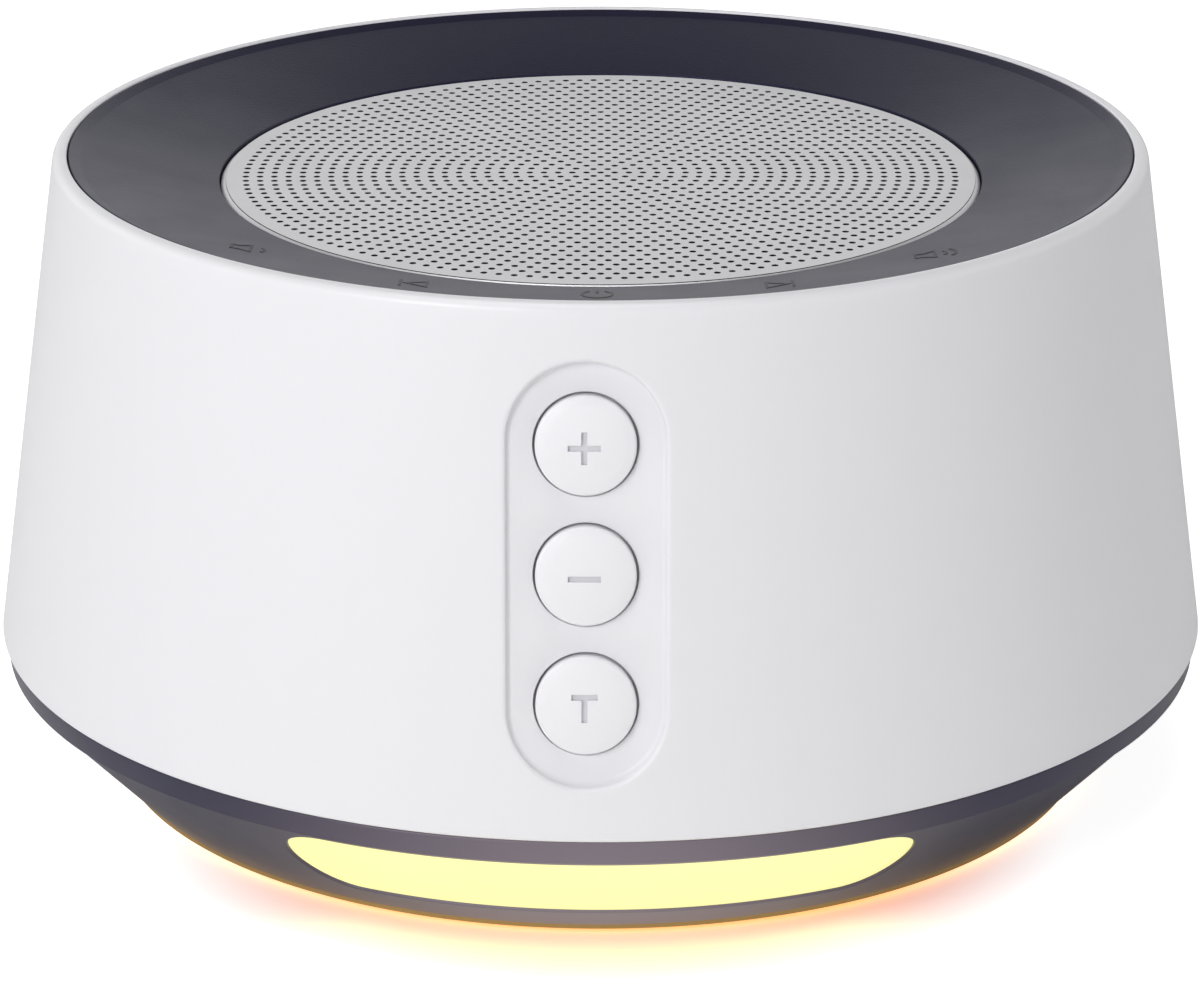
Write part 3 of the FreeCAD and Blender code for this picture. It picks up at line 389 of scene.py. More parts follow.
# %% Finish the construction's own pieces
KEPT = {
    CLOTH: ("grille_cloth",),
    STEEL: ("speaker_basket", "speaker_screws", "panel_screws", "case_screws", "board_screws",
            "power_socket"),
    RUBBER: ("speaker_surround", "touch_pads", "rubber_feet"),
    PAPER: ("speaker_cone", "dust_cap"),
    FERRITE: ("speaker_magnet",),
    COPPER: ("voice_coil",),
    GREEN: ("touch_board", "button_board", "main_board"),
    BLACK_AND_HOLE_SHADE: ("plunger_brighter", "plunger_dimmer", "plunger_timer", "button_switches", "board_components"),
    PLATE: ("base_plate",),
    PALE: ("lamp_board",),
    LAMP: ("lamp_diodes",),
}
for material, names in KEPT.items():
    for name in names:
        nodes[name].data.materials.clear()
        nodes[name].data.materials.append(material)
print("kept pieces:", sum(len(names) for names in KEPT.values()))

# %% [markdown]
# ## The shell
# The white shell is a turned wall that leans in as it rises, with a narrow flat rim. The
# outline goes once round the wall: up the outside, over the rim, down to the ledge under the
# dish, and back down the inside. The outside is divided into rows, so that the button well in
# front and the plug opening at the back can each take a window of the grid.

# %% Shell: outline
WALL_ROWS = 36
RIM_ROUND = 0.9
DISH_GAP = 0.15
SEAT_DROP = 2.3
LEDGE_WIDTH = 2.0
LEDGE_THICK = 1.6
POCKET_RADIUS = DISH_RADIUS + DISH_GAP
SEAT = DISH_TOP - SEAT_DROP
LEDGE_RADIUS = POCKET_RADIUS - LEDGE_WIDTH
SKIN = SHELL_WALL / math.cos(TAPER)


def shell_outline():
    """Once round the wall, from the foot of its outside."""
    under = SEAT - LEDGE_THICK
    inner_top = SHELL_RADIUS - (under - BOWL_TOP) * math.tan(TAPER) - SKIN
    return [
        (SHELL_RADIUS, BOWL_TOP, 0.25),
        (RIM_RADIUS, RIM, RIM_ROUND),
        (POCKET_RADIUS, RIM, 0.2),
        (POCKET_RADIUS, SEAT, 0),
        (LEDGE_RADIUS, SEAT, 0),
        (LEDGE_RADIUS, under, 0),
        (inner_top, under, 0),
        (SHELL_RADIUS - SKIN, BOWL_TOP, 0.2),
    ]


print("corners in the shell's outline:", len(shell_outline()))

# %% [markdown]
# The wall leans and curves, so a slot in it is hard to draw in place. A wall frame stands at
# one spot of the wall and gives a flat picture of it there: across, up the slope, and depth
# inwards. It also tells how far the curved wall has fallen away from the flat picture.

# %% Shell: wall frames
SKIN_ROUNDS = 8


class WallFrame:
    """A flat picture of the tapered wall round one place: across, up, and depth inwards."""

    def __init__(self, height, shift, side):
        self.side = side
        self.spot = Vector((shift, -(SHELL_RADIUS - height * math.tan(TAPER)), BOWL_TOP + height))
        self.up = Vector((0, math.sin(TAPER), math.cos(TAPER)))
        self.inward = Vector((0, math.cos(TAPER), -math.sin(TAPER)))

    def at(self, across, up, depth):
        """A point at that depth below the plane that touches the wall at the spot."""
        point = self.spot + Vector((across, 0, 0)) + self.up * up + self.inward * depth
        return Vector((point.x * self.side, point.y * self.side, point.z))

    def flat(self, point):
        """The point's place in the flat picture."""
        arm = Vector((point.x * self.side, point.y * self.side, point.z)) - self.spot
        return Vector((arm.x, arm.dot(self.up)))

    def skin(self, place):
        """How far the curved wall lies below the plane there."""
        depth = 0.0
        for _ in range(SKIN_ROUNDS):
            point = self.at(place.x, place.y, depth)
            wall = SHELL_RADIUS - (point.z - BOWL_TOP) * math.tan(TAPER)
            depth += (math.hypot(point.x, point.y) - wall) * math.cos(TAPER)
        return depth


WELL_HEIGHT, WELL_SHIFT = 22.15, -1.2
PORT_HEIGHT = 8.25
WELL = WallFrame(WELL_HEIGHT, WELL_SHIFT, 1)
PORT = WallFrame(PORT_HEIGHT, 0, -1)
print("well at", [round(v, 2) for v in WELL.spot], "port at", [round(v, 2) for v in PORT.at(0, 0, 0)])

# %% [markdown]
# ### The button well and the plug opening
# The well is a stadium 13 mm wide with a small rounded lip and a flat floor, in which three
# round holes hold the caps. Near its mouth, depth is measured from the curved wall; at the
# floor it is measured from a flat plane. The depths change from one to the other on the way
# down. The floor is filled between the stadium and the holes' edges.

# %% Shell: well and port
WELL_WIDTH, WELL_LENGTH = 13.1, 35.6
WELL_RADIUS = WELL_WIDTH / 2
WELL_SPINE = Vector((0, (WELL_LENGTH - WELL_WIDTH) / 2))
WELL_DEPTH = 1.2
WELL_EDGE = 0.42
FLOOR_BEND = 0.4
BEND_STEPS = 4
PORT_WIDTH, PORT_TALL = 12.0, 6.6
PORT_RADIUS = PORT_TALL / 2
PORT_SPINE = Vector(((PORT_WIDTH - PORT_TALL) / 2, 0))
PORT_DEPTH = SHELL_WALL + 0.1
PORT_EDGE = 0.35


def well_lift(place, depth):
    """A place in the well: on the curved wall at the mouth, on a flat plane at the floor."""
    share = min(1.0, max(0.0, depth) / WELL_DEPTH)
    return WELL.at(place.x, place.y, WELL.skin(place) * (1 - share) + depth)


def port_lift(place, depth):
    """A place in the plug opening, from the curved wall to a flat plane behind it."""
    share = min(1.0, max(0.0, depth) / PORT_DEPTH)
    return PORT.at(place.x, place.y, PORT.skin(place) * (1 - share) + depth)


print("well", WELL_WIDTH, "by", WELL_LENGTH, "mm, port", PORT_WIDTH, "by", PORT_TALL, "mm")

# %% [markdown]
# The three button holes have a tiny rounded lip. What is left of the well's floor between
# them is one flat region with an outer edge and three holes, and a triangle fill closes it
# without crossing any of them.

# %% Shell: button holes
BUTTON_PITCH = 10.85
BUTTON_RADIUS = 8.3 / 2
BUTTON_GAP = 0.2
HOLE_DEPTH = 2.4
HOLE_STEPS = ((0.12, 0), (0.03, 0.05), (0, 0.14), (0, HOLE_DEPTH))
HOLE_POINTS = 64


def hole_loop(points, along, radius, depth):
    """One ring of a button hole, at a depth below the wall's plane."""
    first = len(points)
    for k in range(HOLE_POINTS):
        angle = 2 * math.pi * k / HOLE_POINTS
        points.append(WELL.at(radius * math.cos(angle), along + radius * math.sin(angle), depth))
    return list(range(first, first + HOLE_POINTS))


def button_hole(points, faces, along):
    """A hole with its lip and its closed end; gives back the ring in the well's floor."""
    mouth = BUTTON_RADIUS + BUTTON_GAP
    rings = [hole_loop(points, along, mouth + out, WELL_DEPTH + down) for out, down in HOLE_STEPS]
    for one, other in zip(rings, rings[1:]):
        bridge(faces, one, other)
    faces.append(tuple(rings[-1]))
    return rings[0]


def fill_flat(points, faces, loops):
    """Fills the flat region between an outer loop and the holes in it."""
    shape = bmesh.new()
    corners_of = {}
    edges = []
    for loop in loops:
        verts = [shape.verts.new(points[index]) for index in loop]
        for vert, index in zip(verts, loop):
            corners_of[vert] = index
        for k in range(len(verts)):
            edges.append(shape.edges.new((verts[k], verts[(k + 1) % len(verts)])))
    made = bmesh.ops.triangle_fill(shape, use_beauty=True, edges=edges)
    for item in made["geom"]:
        if isinstance(item, bmesh.types.BMFace):
            faces.append(tuple(corners_of[vert] for vert in item.verts))
    shape.free()


print("button holes:", round(2 * (BUTTON_RADIUS + BUTTON_GAP), 2), "mm wide")

# %% [markdown]
# Now the wall itself. Its outer side is divided into rows, and so is its inner side, because
# the plug opening goes through both. The windows are given in rows and columns of that grid,
# a little larger than the slots that fill them.

# %% Shell: build
OUTER_FOOT, INNER_TOP = 6, 24
INNER_MARGIN = 2
WELL_LEFT, WELL_RIGHT = 14, 12
PORT_SIDE = 11
PORT_ROWS = 12


def sink_well(points, faces, window):
    """The well with its three holes and the floor between them."""
    bends = [(-FLOOR_BEND * (1 - math.cos(a)), WELL_DEPTH - FLOOR_BEND * (1 - math.sin(a)))
             for a in (math.pi / 2 * k / BEND_STEPS for k in range(BEND_STEPS + 1))]
    floor_edge = pocket(points, faces, window, WELL.flat, well_lift, WELL_SPINE, WELL_RADIUS,
                        WELL_EDGE, bends)
    rings = [button_hole(points, faces, along) for along in (-BUTTON_PITCH, 0, BUTTON_PITCH)]
    fill_flat(points, faces, [floor_edge] + rings)


def build_shell():
    """The whole shell, with the well in front and the plug opening at the back."""
    line = rounded(shell_outline())
    line = divided(divided(line, INNER_TOP, WALL_ROWS), OUTER_FOOT, WALL_ROWS)
    points = turn_grid(line)
    front, back = SEGMENTS * 3 // 4, SEGMENTS // 4
    left, right = back - PORT_SIDE, back + PORT_SIDE
    low = OUTER_FOOT + 1
    well_window = (low, OUTER_FOOT + WALL_ROWS - 1, front - WELL_LEFT, front + WELL_RIGHT)
    port_window = (low, low + PORT_ROWS, left, right)
    inner_foot = INNER_TOP + 2 * WALL_ROWS - 1 - INNER_MARGIN
    inner_window = (inner_foot - PORT_ROWS, inner_foot, left, right)
    faces = turn_faces(len(line), skip=(well_window, port_window, inner_window))
    sink_well(points, faces, well_window)
    inside = pocket(points, faces, port_window, PORT.flat, port_lift, PORT_SPINE, PORT_RADIUS,
                    PORT_EDGE, [(0, PORT_DEPTH)])
    bridge(faces, inside, border((inner_foot, inner_foot - PORT_ROWS, left, right)))
    return make_piece("shell", points, faces, WHITE, "shell_white")


shell = build_shell()
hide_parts("outer_shell")

# %% [markdown]
# ## The dish
# The dark ring slopes gently down to the grille and is coated in soft-touch paint. A bevel
# runs round its outer edge. It is a plain turned outline, so it is turned, with rounded
# corners where the coating would soften them.

# %% Dish
BEVEL_WIDTH = 1.1
BEVEL_DROP = 0.45
GRILLE_GAP = 0.15
SHELF_WIDTH = 1.5
COLLAR_WIDTH = 4.1
COLLAR_DRAFT = 0.4
DISH_THICK = 2.0
GRILLE_POCKET = GRILLE_RADIUS + GRILLE_GAP
SLOPE_OUTER = DISH_RADIUS - BEVEL_WIDTH
SLOPE_TOP = DISH_TOP - BEVEL_DROP
DISH_SLOPE = (SLOPE_TOP - GRILLE_TOP) / (SLOPE_OUTER - GRILLE_POCKET)


def dish_level(radius):
    """Height of the dish's slope at a radius."""
    return GRILLE_TOP + (radius - GRILLE_POCKET) * DISH_SLOPE


COLLAR_TOP = GRILLE_POCKET + COLLAR_WIDTH + COLLAR_DRAFT
dish = lathe("dish", [
    (DISH_RADIUS, DISH_TOP, 0.08),
    (SLOPE_OUTER, SLOPE_TOP, 0.5),
    (GRILLE_POCKET, GRILLE_TOP, 0.12),
    (GRILLE_POCKET, GRILLE_TOP - GRILLE_THICK, 0),
    (GRILLE_POCKET - SHELF_WIDTH, GRILLE_TOP - GRILLE_THICK, 0),
    (GRILLE_POCKET - SHELF_WIDTH, dish_low.z, 0),
    (GRILLE_POCKET + COLLAR_WIDTH, dish_low.z, 0),
    (COLLAR_TOP, dish_level(COLLAR_TOP) - DISH_THICK, 0),
    (LEDGE_RADIUS - DISH_GAP, SEAT, 0),
    (DISH_RADIUS, SEAT, 0),
], DISH, "dish_soft")
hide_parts("top_dish")

# %% [markdown]
# ### Touch marks
# Five fine marks are printed on the front of the dish: softer, back, power, forward and
# louder. Their strokes are a quarter of a millimetre wide. A flat image could carry them, but
# real strokes stay sharp at any distance. A ribbon helper gives a line its width and lays it
# on the slope, just proud of the coating and with its body sunk below it.

# %% Touch marks: strokes
MARK_RING = 40.6
MARK_WIDTH = 0.24
MARK_PROUD = 0.04
MARK_SINK = 0.12
MITRE_LIMIT = 0.5
ARC_STEPS = 14


def arc(x, y, radius, start, end, steps=ARC_STEPS):
    """Points along an arc, its angles in degrees."""
    spots = []
    for k in range(steps + 1):
        angle = math.radians(start + (end - start) * k / steps)
        spots.append((x + radius * math.cos(angle), y + radius * math.sin(angle)))
    return spots


def ribbon(points, faces, line, middle, tall, closed=False):
    """A flat stroke along a line, stretched by tall in depth and laid on the dish's slope."""
    count = len(line)
    first = len(points)
    for i in range(count):
        here = Vector(line[i])
        back = Vector(line[(i - 1) % count] if closed else line[max(i - 1, 0)])
        ahead = Vector(line[(i + 1) % count] if closed else line[min(i + 1, count - 1)])
        one = (here - back).normalized() if (here - back).length else (ahead - here).normalized()
        two = (ahead - here).normalized() if (ahead - here).length else one
        across = Vector((-(one + two).y, (one + two).x)).normalized()
        reach = MARK_WIDTH / 2 / max(MITRE_LIMIT, across.dot(Vector((-one.y, one.x))))
        for side in (1, -1):
            flat = here + across * reach * side
            spot = Vector((flat.x, flat.y * tall)) + middle
            level = dish_level(spot.length)
            points.append(Vector((spot.x, spot.y, level + MARK_PROUD)))
            points.append(Vector((spot.x, spot.y, level - MARK_SINK)))
    for i in range(count if closed else count - 1):
        a, b = first + 4 * i, first + 4 * ((i + 1) % count)
        faces.extend([(a, b, b + 2, a + 2), (a + 1, a + 3, b + 3, b + 1),
                      (a, a + 1, b + 1, b), (a + 2, b + 2, b + 3, a + 3)])
    if not closed:
        last = first + 4 * (count - 1)
        faces.extend([(first, first + 2, first + 3, first + 1), (last, last + 1, last + 3, last + 2)])


print("stroke width:", MARK_WIDTH, "mm")

# %% [markdown]
# Each mark is a few lines drawn in millimetres about its own middle, with its angle round
# the dish. The marks are drawn taller where the dish faces away from someone in front of it,
# so that they still read well from there.

# %% Touch marks: the five
HORN = [(-1.5, -0.6), (-0.85, -0.6), (0.15, -1.1), (0.15, 1.1), (-0.85, 0.6), (-1.5, 0.6)]
ARROW = [(-0.9, 0), (0.85, -0.85), (0.85, 0.85)]
MARKS = {
    "softer": (-47, 1.45, [(HORN, True), (arc(0.15, 0, 1.15, -38, 38), False)]),
    "back": (-22, 2.2, [([(-1.35, -0.95), (-1.35, 0.95)], False), (ARROW, True)]),
    "power": (-0.4, 2.2, [(arc(0, 0, 1.25, 122, 418, 28), False), ([(0, 0.45), (0, 1.4)], False)]),
    "forward": (21, 2.2, [([(1.35, -0.95), (1.35, 0.95)], False), ([(-x, y) for x, y in ARROW], True)]),
    "louder": (43.6, 1.5, [(HORN, True), (arc(0.15, 0, 0.95, -40, 40), False),
                           (arc(0.15, 0, 1.75, -40, 40), False)]),
}
mark_points, mark_faces = [], []
for angle, tall, lines in MARKS.values():
    turn = math.radians(angle)
    middle = Vector((MARK_RING * math.sin(turn), -MARK_RING * math.cos(turn)))
    for line, closed in lines:
        ribbon(mark_points, mark_faces, line, middle, tall, closed)
marks = make_piece("touch_marks", mark_points, mark_faces, MARK, "dish_soft")

# %% [markdown]
# ## The perforated grille
# The grille is an aluminium disc with twenty-five rings of fine round holes: six in the first
# ring, twelve in the second, and six more in each after that. It could be cut with booleans,
# but two thousand of them are slow. Geometry Nodes do it in one go: small circles are placed
# on the rings as instances, Fill Curve makes a sheet with a hole wherever a circle lies
# inside the outer circle, and Extrude Mesh gives the sheet its thickness.

# %% Grille: helpers for trees
HOLE_RINGS = 25
HOLE_PITCH = 1.2715
HOLE_RADIUS = 0.31
HOLE_SIDES = 10


def node(tree, kind, **settings):
    """A new node with its settings."""
    made = tree.nodes.new(kind)
    for key, setting in settings.items():
        setattr(made, key, setting)
    return made


def maths(tree, operation, first, second=None):
    """A sum of two numbers or sockets; gives back its result's socket."""
    made = node(tree, "ShaderNodeMath", operation=operation)
    for socket, source in zip(made.inputs, (first, second)):
        if source is None:
            continue
        if isinstance(source, (int, float)):
            socket.default_value = source
        else:
            tree.links.new(source, socket)
    return made.outputs[0]


print("holes in the grille:", 1 + 3 * HOLE_RINGS * (HOLE_RINGS + 1))

# %% [markdown]
# The holes are numbered from the middle outwards. The ring that a number falls in comes from
# a square root, because the rings before ring r hold 3r(r - 1) + 1 holes, and what is left
# of the number says how far round the ring the hole lies.

# %% Grille: where the holes lie
RING_NUDGE = 0.01


def hole_places(tree, rings, pitch):
    """One point for each hole, with six more in each ring than in the one inside it."""
    link = tree.links.new
    total = maths(tree, "MULTIPLY", maths(tree, "MULTIPLY", rings, maths(tree, "ADD", rings, 1)), 3)
    spots = node(tree, "GeometryNodePoints")
    link(maths(tree, "ADD", total, 1), spots.inputs["Count"])
    index = node(tree, "GeometryNodeInputIndex").outputs[0]
    inner = maths(tree, "SQRT", maths(tree, "ADD", maths(tree, "MULTIPLY", index, 12), -3 + RING_NUDGE))
    ring = maths(tree, "CEIL", maths(tree, "DIVIDE", maths(tree, "SUBTRACT", inner, 3), 6))
    ring = maths(tree, "MAXIMUM", ring, 0)
    before = maths(tree, "MULTIPLY", maths(tree, "MULTIPLY", ring, maths(tree, "SUBTRACT", ring, 1)), 3)
    step = maths(tree, "SUBTRACT", maths(tree, "SUBTRACT", index, before), 1)
    share = maths(tree, "DIVIDE", step, maths(tree, "MAXIMUM", maths(tree, "MULTIPLY", ring, 6), 1))
    turn = maths(tree, "MULTIPLY", share, 2 * math.pi)
    reach = maths(tree, "MULTIPLY", ring, pitch)
    place = node(tree, "ShaderNodeCombineXYZ")
    link(maths(tree, "MULTIPLY", reach, maths(tree, "COSINE", turn)), place.inputs["X"])
    link(maths(tree, "MULTIPLY", reach, maths(tree, "SINE", turn)), place.inputs["Y"])
    link(place.outputs[0], spots.inputs["Position"])
    return spots.outputs[0]


print("rings of holes:", HOLE_RINGS, "pitch:", HOLE_PITCH, "mm")

# %% [markdown]
# Fill Curve turns the circles into a flat sheet with holes, and Extrude Mesh gives it
# thickness and tells which faces are walls. The walls are painted black: painted shade,
# because almost no light finds its way into holes as fine as these.

# %% Grille: tree
def holed_sheet(tree, spots, start):
    """A flat disc with a hole at each spot."""
    link = tree.links.new
    hole = node(tree, "GeometryNodeCurvePrimitiveCircle")
    link(start["Hole Sides"], hole.inputs["Resolution"])
    link(start["Hole Radius"], hole.inputs["Radius"])
    copies = node(tree, "GeometryNodeInstanceOnPoints")
    link(spots, copies.inputs["Points"])
    link(hole.outputs[0], copies.inputs["Instance"])
    outline = node(tree, "GeometryNodeCurvePrimitiveCircle")
    outline.inputs["Resolution"].default_value = SEGMENTS
    link(start["Field Radius"], outline.inputs["Radius"])
    both = node(tree, "GeometryNodeJoinGeometry")
    link(copies.outputs[0], both.inputs[0])
    link(outline.outputs[0], both.inputs[0])
    flat = node(tree, "GeometryNodeRealizeInstances")
    link(both.outputs[0], flat.inputs[0])
    sheet = node(tree, "GeometryNodeFillCurve")
    link(flat.outputs[0], sheet.inputs[0])
    return sheet.outputs[0]


def thickened(tree, sheet, start):
    """The sheet raised to its height and given its thickness, and which faces are walls."""
    link = tree.links.new
    lift = node(tree, "ShaderNodeCombineXYZ")
    link(start["Top"], lift.inputs["Z"])
    raised = node(tree, "GeometryNodeTransform")
    link(sheet, raised.inputs["Geometry"])
    link(lift.outputs[0], raised.inputs["Translation"])
    thick = node(tree, "GeometryNodeExtrudeMesh")
    thick.inputs["Individual"].default_value = False
    link(raised.outputs[0], thick.inputs["Mesh"])
    drop = node(tree, "ShaderNodeCombineXYZ")
    link(maths(tree, "MULTIPLY", start["Thickness"], -1), drop.inputs["Z"])
    link(drop.outputs[0], thick.inputs["Offset"])
    solid = node(tree, "GeometryNodeJoinGeometry")
    link(thick.outputs["Mesh"], solid.inputs[0])
    link(raised.outputs[0], solid.inputs[0])
    whole = node(tree, "GeometryNodeMergeByDistance")
    whole.inputs["Distance"].default_value = MERGE
    link(solid.outputs[0], whole.inputs[0])
    real = node(tree, "GeometryNodeRealizeInstances")
    link(whole.outputs[0], real.inputs[0])
    return real.outputs[0], thick.outputs["Side"]


def grille_tree():
    """The whole tree with its named inputs."""
    tree = bpy.data.node_groups.new("perforated_disc", "GeometryNodeTree")
    face = tree.interface
    face.new_socket("Geometry", in_out="INPUT", socket_type="NodeSocketGeometry")
    for label, kind in (("Rings", "Int"), ("Pitch", "Float"), ("Hole Radius", "Float"),
                        ("Field Radius", "Float"), ("Top", "Float"), ("Thickness", "Float"),
                        ("Hole Sides", "Int"), ("Material", "Material"), ("Wall Shade Material", "Material")):
        face.new_socket(label, in_out="INPUT", socket_type="NodeSocket" + kind)
    face.new_socket("Geometry", in_out="OUTPUT", socket_type="NodeSocketGeometry")
    start = node(tree, "NodeGroupInput").outputs
    end = node(tree, "NodeGroupOutput")
    link = tree.links.new
    spots = hole_places(tree, start["Rings"], start["Pitch"])
    disc, side = thickened(tree, holed_sheet(tree, spots, start), start)
    paint = node(tree, "GeometryNodeSetMaterial")
    link(disc, paint.inputs["Geometry"])
    link(start["Material"], paint.inputs["Material"])
    # The holes' walls get the black: painted shade inside the holes.
    walls = node(tree, "GeometryNodeSetMaterial")
    link(paint.outputs[0], walls.inputs["Geometry"])
    link(side, walls.inputs["Selection"])
    link(start["Wall Shade Material"], walls.inputs["Material"])
    link(walls.outputs[0], end.inputs[0])
    return tree


perforated_disc = grille_tree()
print("tree inputs:", [item.name for item in perforated_disc.interface.items_tree if item.in_out == "INPUT"])

# %% [markdown]
# A tree's inputs are set by each socket's identifier. The evaluated object is then turned
# into a plain mesh, and the modifier goes, so that nothing live is left on the piece.

# %% Grille: make
def grown(name, tree, values, body="housing", sharp=32):
    """Runs a tree with its named inputs and keeps the result as a plain mesh."""
    seed = bpy.data.objects.new(name + "_seed", bpy.data.meshes.new(name + "_seed"))
    bpy.context.scene.collection.objects.link(seed)
    modifier = seed.modifiers.new("grow", "NODES")
    modifier.node_group = tree
    for item in tree.interface.items_tree:
        if item.item_type == "SOCKET" and item.in_out == "INPUT" and item.name in values:
            modifier[item.identifier] = values[item.name]
    view = seed.evaluated_get(bpy.context.evaluated_depsgraph_get())
    mesh = bpy.data.meshes.new_from_object(view)
    mesh.name = name
    bpy.data.objects.remove(seed)
    shape = bmesh.new()
    shape.from_mesh(mesh)
    bmesh.ops.recalc_face_normals(shape, faces=shape.faces)
    shape.to_mesh(mesh)
    shape.free()
    mesh.polygons.foreach_set("use_smooth", [True] * len(mesh.polygons))
    mesh.set_sharp_from_angle(angle=math.radians(sharp))
    piece = bpy.data.objects.new(name, mesh)
    bpy.context.scene.collection.objects.link(piece)
    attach(piece, body)
    print(name, "faces:", len(mesh.polygons))
    return piece


GRILLE_EDGE = 0.45
EDGE_DROP = 0.38
FIELD_RADIUS = GRILLE_RADIUS - GRILLE_EDGE
grille = grown("grille_field", perforated_disc, {
    "Rings": HOLE_RINGS, "Pitch": HOLE_PITCH / MM, "Hole Radius": HOLE_RADIUS / MM,
    "Field Radius": FIELD_RADIUS / MM, "Top": GRILLE_TOP / MM,
    "Thickness": GRILLE_THICK / MM, "Hole Sides": HOLE_SIDES, "Material": SILVER,
    # Black on the holes' walls is painted shade.
    "Wall Shade Material": BLACK_AND_HOLE_SHADE,
}, sharp=40)
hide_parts("speaker_grille")
lathe("grille_edge", [
    (GRILLE_RADIUS, GRILLE_TOP - GRILLE_THICK, 0),
    (GRILLE_RADIUS, GRILLE_TOP - EDGE_DROP, 0.1),
    (FIELD_RADIUS, GRILLE_TOP, 0.05),
    (FIELD_RADIUS, GRILLE_TOP - GRILLE_THICK, 0),
], SILVER, "grille_silver", steps=4)

# %% [markdown]
# ## The push buttons
# Each cap is a round plug with a softly domed face and a small rounded edge. Its sign is
# pressed into the face, so it is cut from the dome with a boolean: a sign is only a few
# straight bars, and the dome round it is dense enough to shade well. The cap is built in the
# wall's frame, and rides on the body of its own button.

# %% Buttons: caps
CAP_RISE = 0.75
CAP_DOME = 0.45
CAP_SKIRT = 1.1
CAP_EDGE = 0.28
CAP_SEGMENTS = 96
FACE_RINGS = 14
EDGE_RINGS = 6


def dome(radius):
    """Depth of the cap's face below the wall's plane."""
    return WELL_DEPTH - CAP_RISE - CAP_DOME * (1 - (radius / BUTTON_RADIUS) ** 2)


def cap_lines():
    """Radius and depth of each ring: the dome, its rounded edge and the foot of the skirt."""
    radii = [BUTTON_RADIUS * k / FACE_RINGS for k in range(1, FACE_RINGS - 1)]
    face = [(radius, dome(radius)) for radius in radii]
    brim = BUTTON_RADIUS - CAP_EDGE
    start = dome(BUTTON_RADIUS)
    bend = [(brim + CAP_EDGE * math.sin(a), start + CAP_EDGE * (1 - math.cos(a)))
            for a in (math.pi / 2 * k / EDGE_RINGS for k in range(EDGE_RINGS + 1))]
    return face + bend + [(BUTTON_RADIUS, WELL_DEPTH + CAP_SKIRT)]


def cap_mesh(along):
    """Points and faces of a cap whose middle lies that far up the wall from the well's."""
    points, faces = [WELL.at(0, along, dome(0))], []
    rows = []
    for radius, depth in cap_lines():
        rows.append([])
        for k in range(CAP_SEGMENTS):
            angle = 2 * math.pi * k / CAP_SEGMENTS
            rows[-1].append(len(points))
            points.append(WELL.at(radius * math.cos(angle), along + radius * math.sin(angle), depth))
    for k in range(CAP_SEGMENTS):
        faces.append((0, rows[0][k], rows[0][(k + 1) % CAP_SEGMENTS]))
    for one, other in zip(rows, rows[1:]):
        bridge(faces, one, other)
    faces.append(tuple(rows[-1]))
    return points, faces


print("rings in a cap:", len(cap_lines()))

# %% [markdown]
# The signs are plain bars: a plus for brighter, a minus for dimmer and a T for the timer.
# Each bar is a box that reaches down to the sign's depth. The exact solver takes it out of
# the cap, and what it leaves is kept as a plain mesh, so that no modifier stays live.

# %% Buttons: signs
SIGN_DEPTH = 0.32
SIGN_SHIFT = Vector((-0.12, -0.12))
BAR_START = -1.0
SIGNS = {
    "brighter": (BUTTON_PITCH, [(0, 0, 2.7, 0.5), (0, 0, 0.5, 2.7)]),
    "dimmer": (0, [(0, 0, 2.7, 0.5)]),
    "timer": (-BUTTON_PITCH, [(0, 0.94, 2.15, 0.5), (0, 0, 0.5, 2.38)]),
}


def bar_cutter(along, bars):
    """Straight bars whose lower faces lie at the sign's depth in the dome."""
    points, faces = [], []
    for x, y, width, tall in bars:
        first = len(points)
        for depth in (BAR_START, dome(0) + SIGN_DEPTH):
            for a, b in ((-1, -1), (1, -1), (1, 1), (-1, 1)):
                points.append(WELL.at(SIGN_SHIFT.x + x + a * width / 2,
                                      along + SIGN_SHIFT.y + y + b * tall / 2, depth))
        top, bottom = range(first, first + 4), range(first + 4, first + 8)
        faces.extend([tuple(top), tuple(reversed(bottom))])
        for k in range(4):
            n = (k + 1) % 4
            faces.append((top[k], bottom[k], bottom[n], top[n]))
    return points, faces


def plain_object(name, points, faces):
    """A bare object with its faces outwards, for a boolean."""
    mesh = bpy.data.meshes.new(name)
    mesh.from_pydata([point / MM for point in points], [], faces)
    made = bpy.data.objects.new(name, mesh)
    bpy.context.scene.collection.objects.link(made)
    shape = bmesh.new()
    shape.from_mesh(mesh)
    bmesh.ops.recalc_face_normals(shape, faces=shape.faces)
    shape.to_mesh(mesh)
    shape.free()
    return made


def cut(base, tool):
    """Takes the tool's shape out of the base and removes the tool."""
    knife = base.modifiers.new("cut", "BOOLEAN")
    knife.operation = "DIFFERENCE"
    knife.solver = "EXACT"
    knife.use_self = True
    knife.object = tool
    view = base.evaluated_get(bpy.context.evaluated_depsgraph_get())
    mesh = bpy.data.meshes.new_from_object(view)
    base.modifiers.clear()
    base.data = mesh
    bpy.data.objects.remove(tool)
    return base


print("signs:", ", ".join(SIGNS))

# %% [markdown]
# A boolean leaves long thin faces round the sign, and they would show as creases. The dome's
# true normals are known from its formula, so they are written on those faces. The recess is
# painted a shade darker than the cap: painted shade for the light its floor would lose.

# %% Buttons: true normals and painted shade
DOME_MATCH = 0.985
SIGN_ABOVE, SIGN_BELOW = 0.04, 0.01
CAP_SHARP = 30


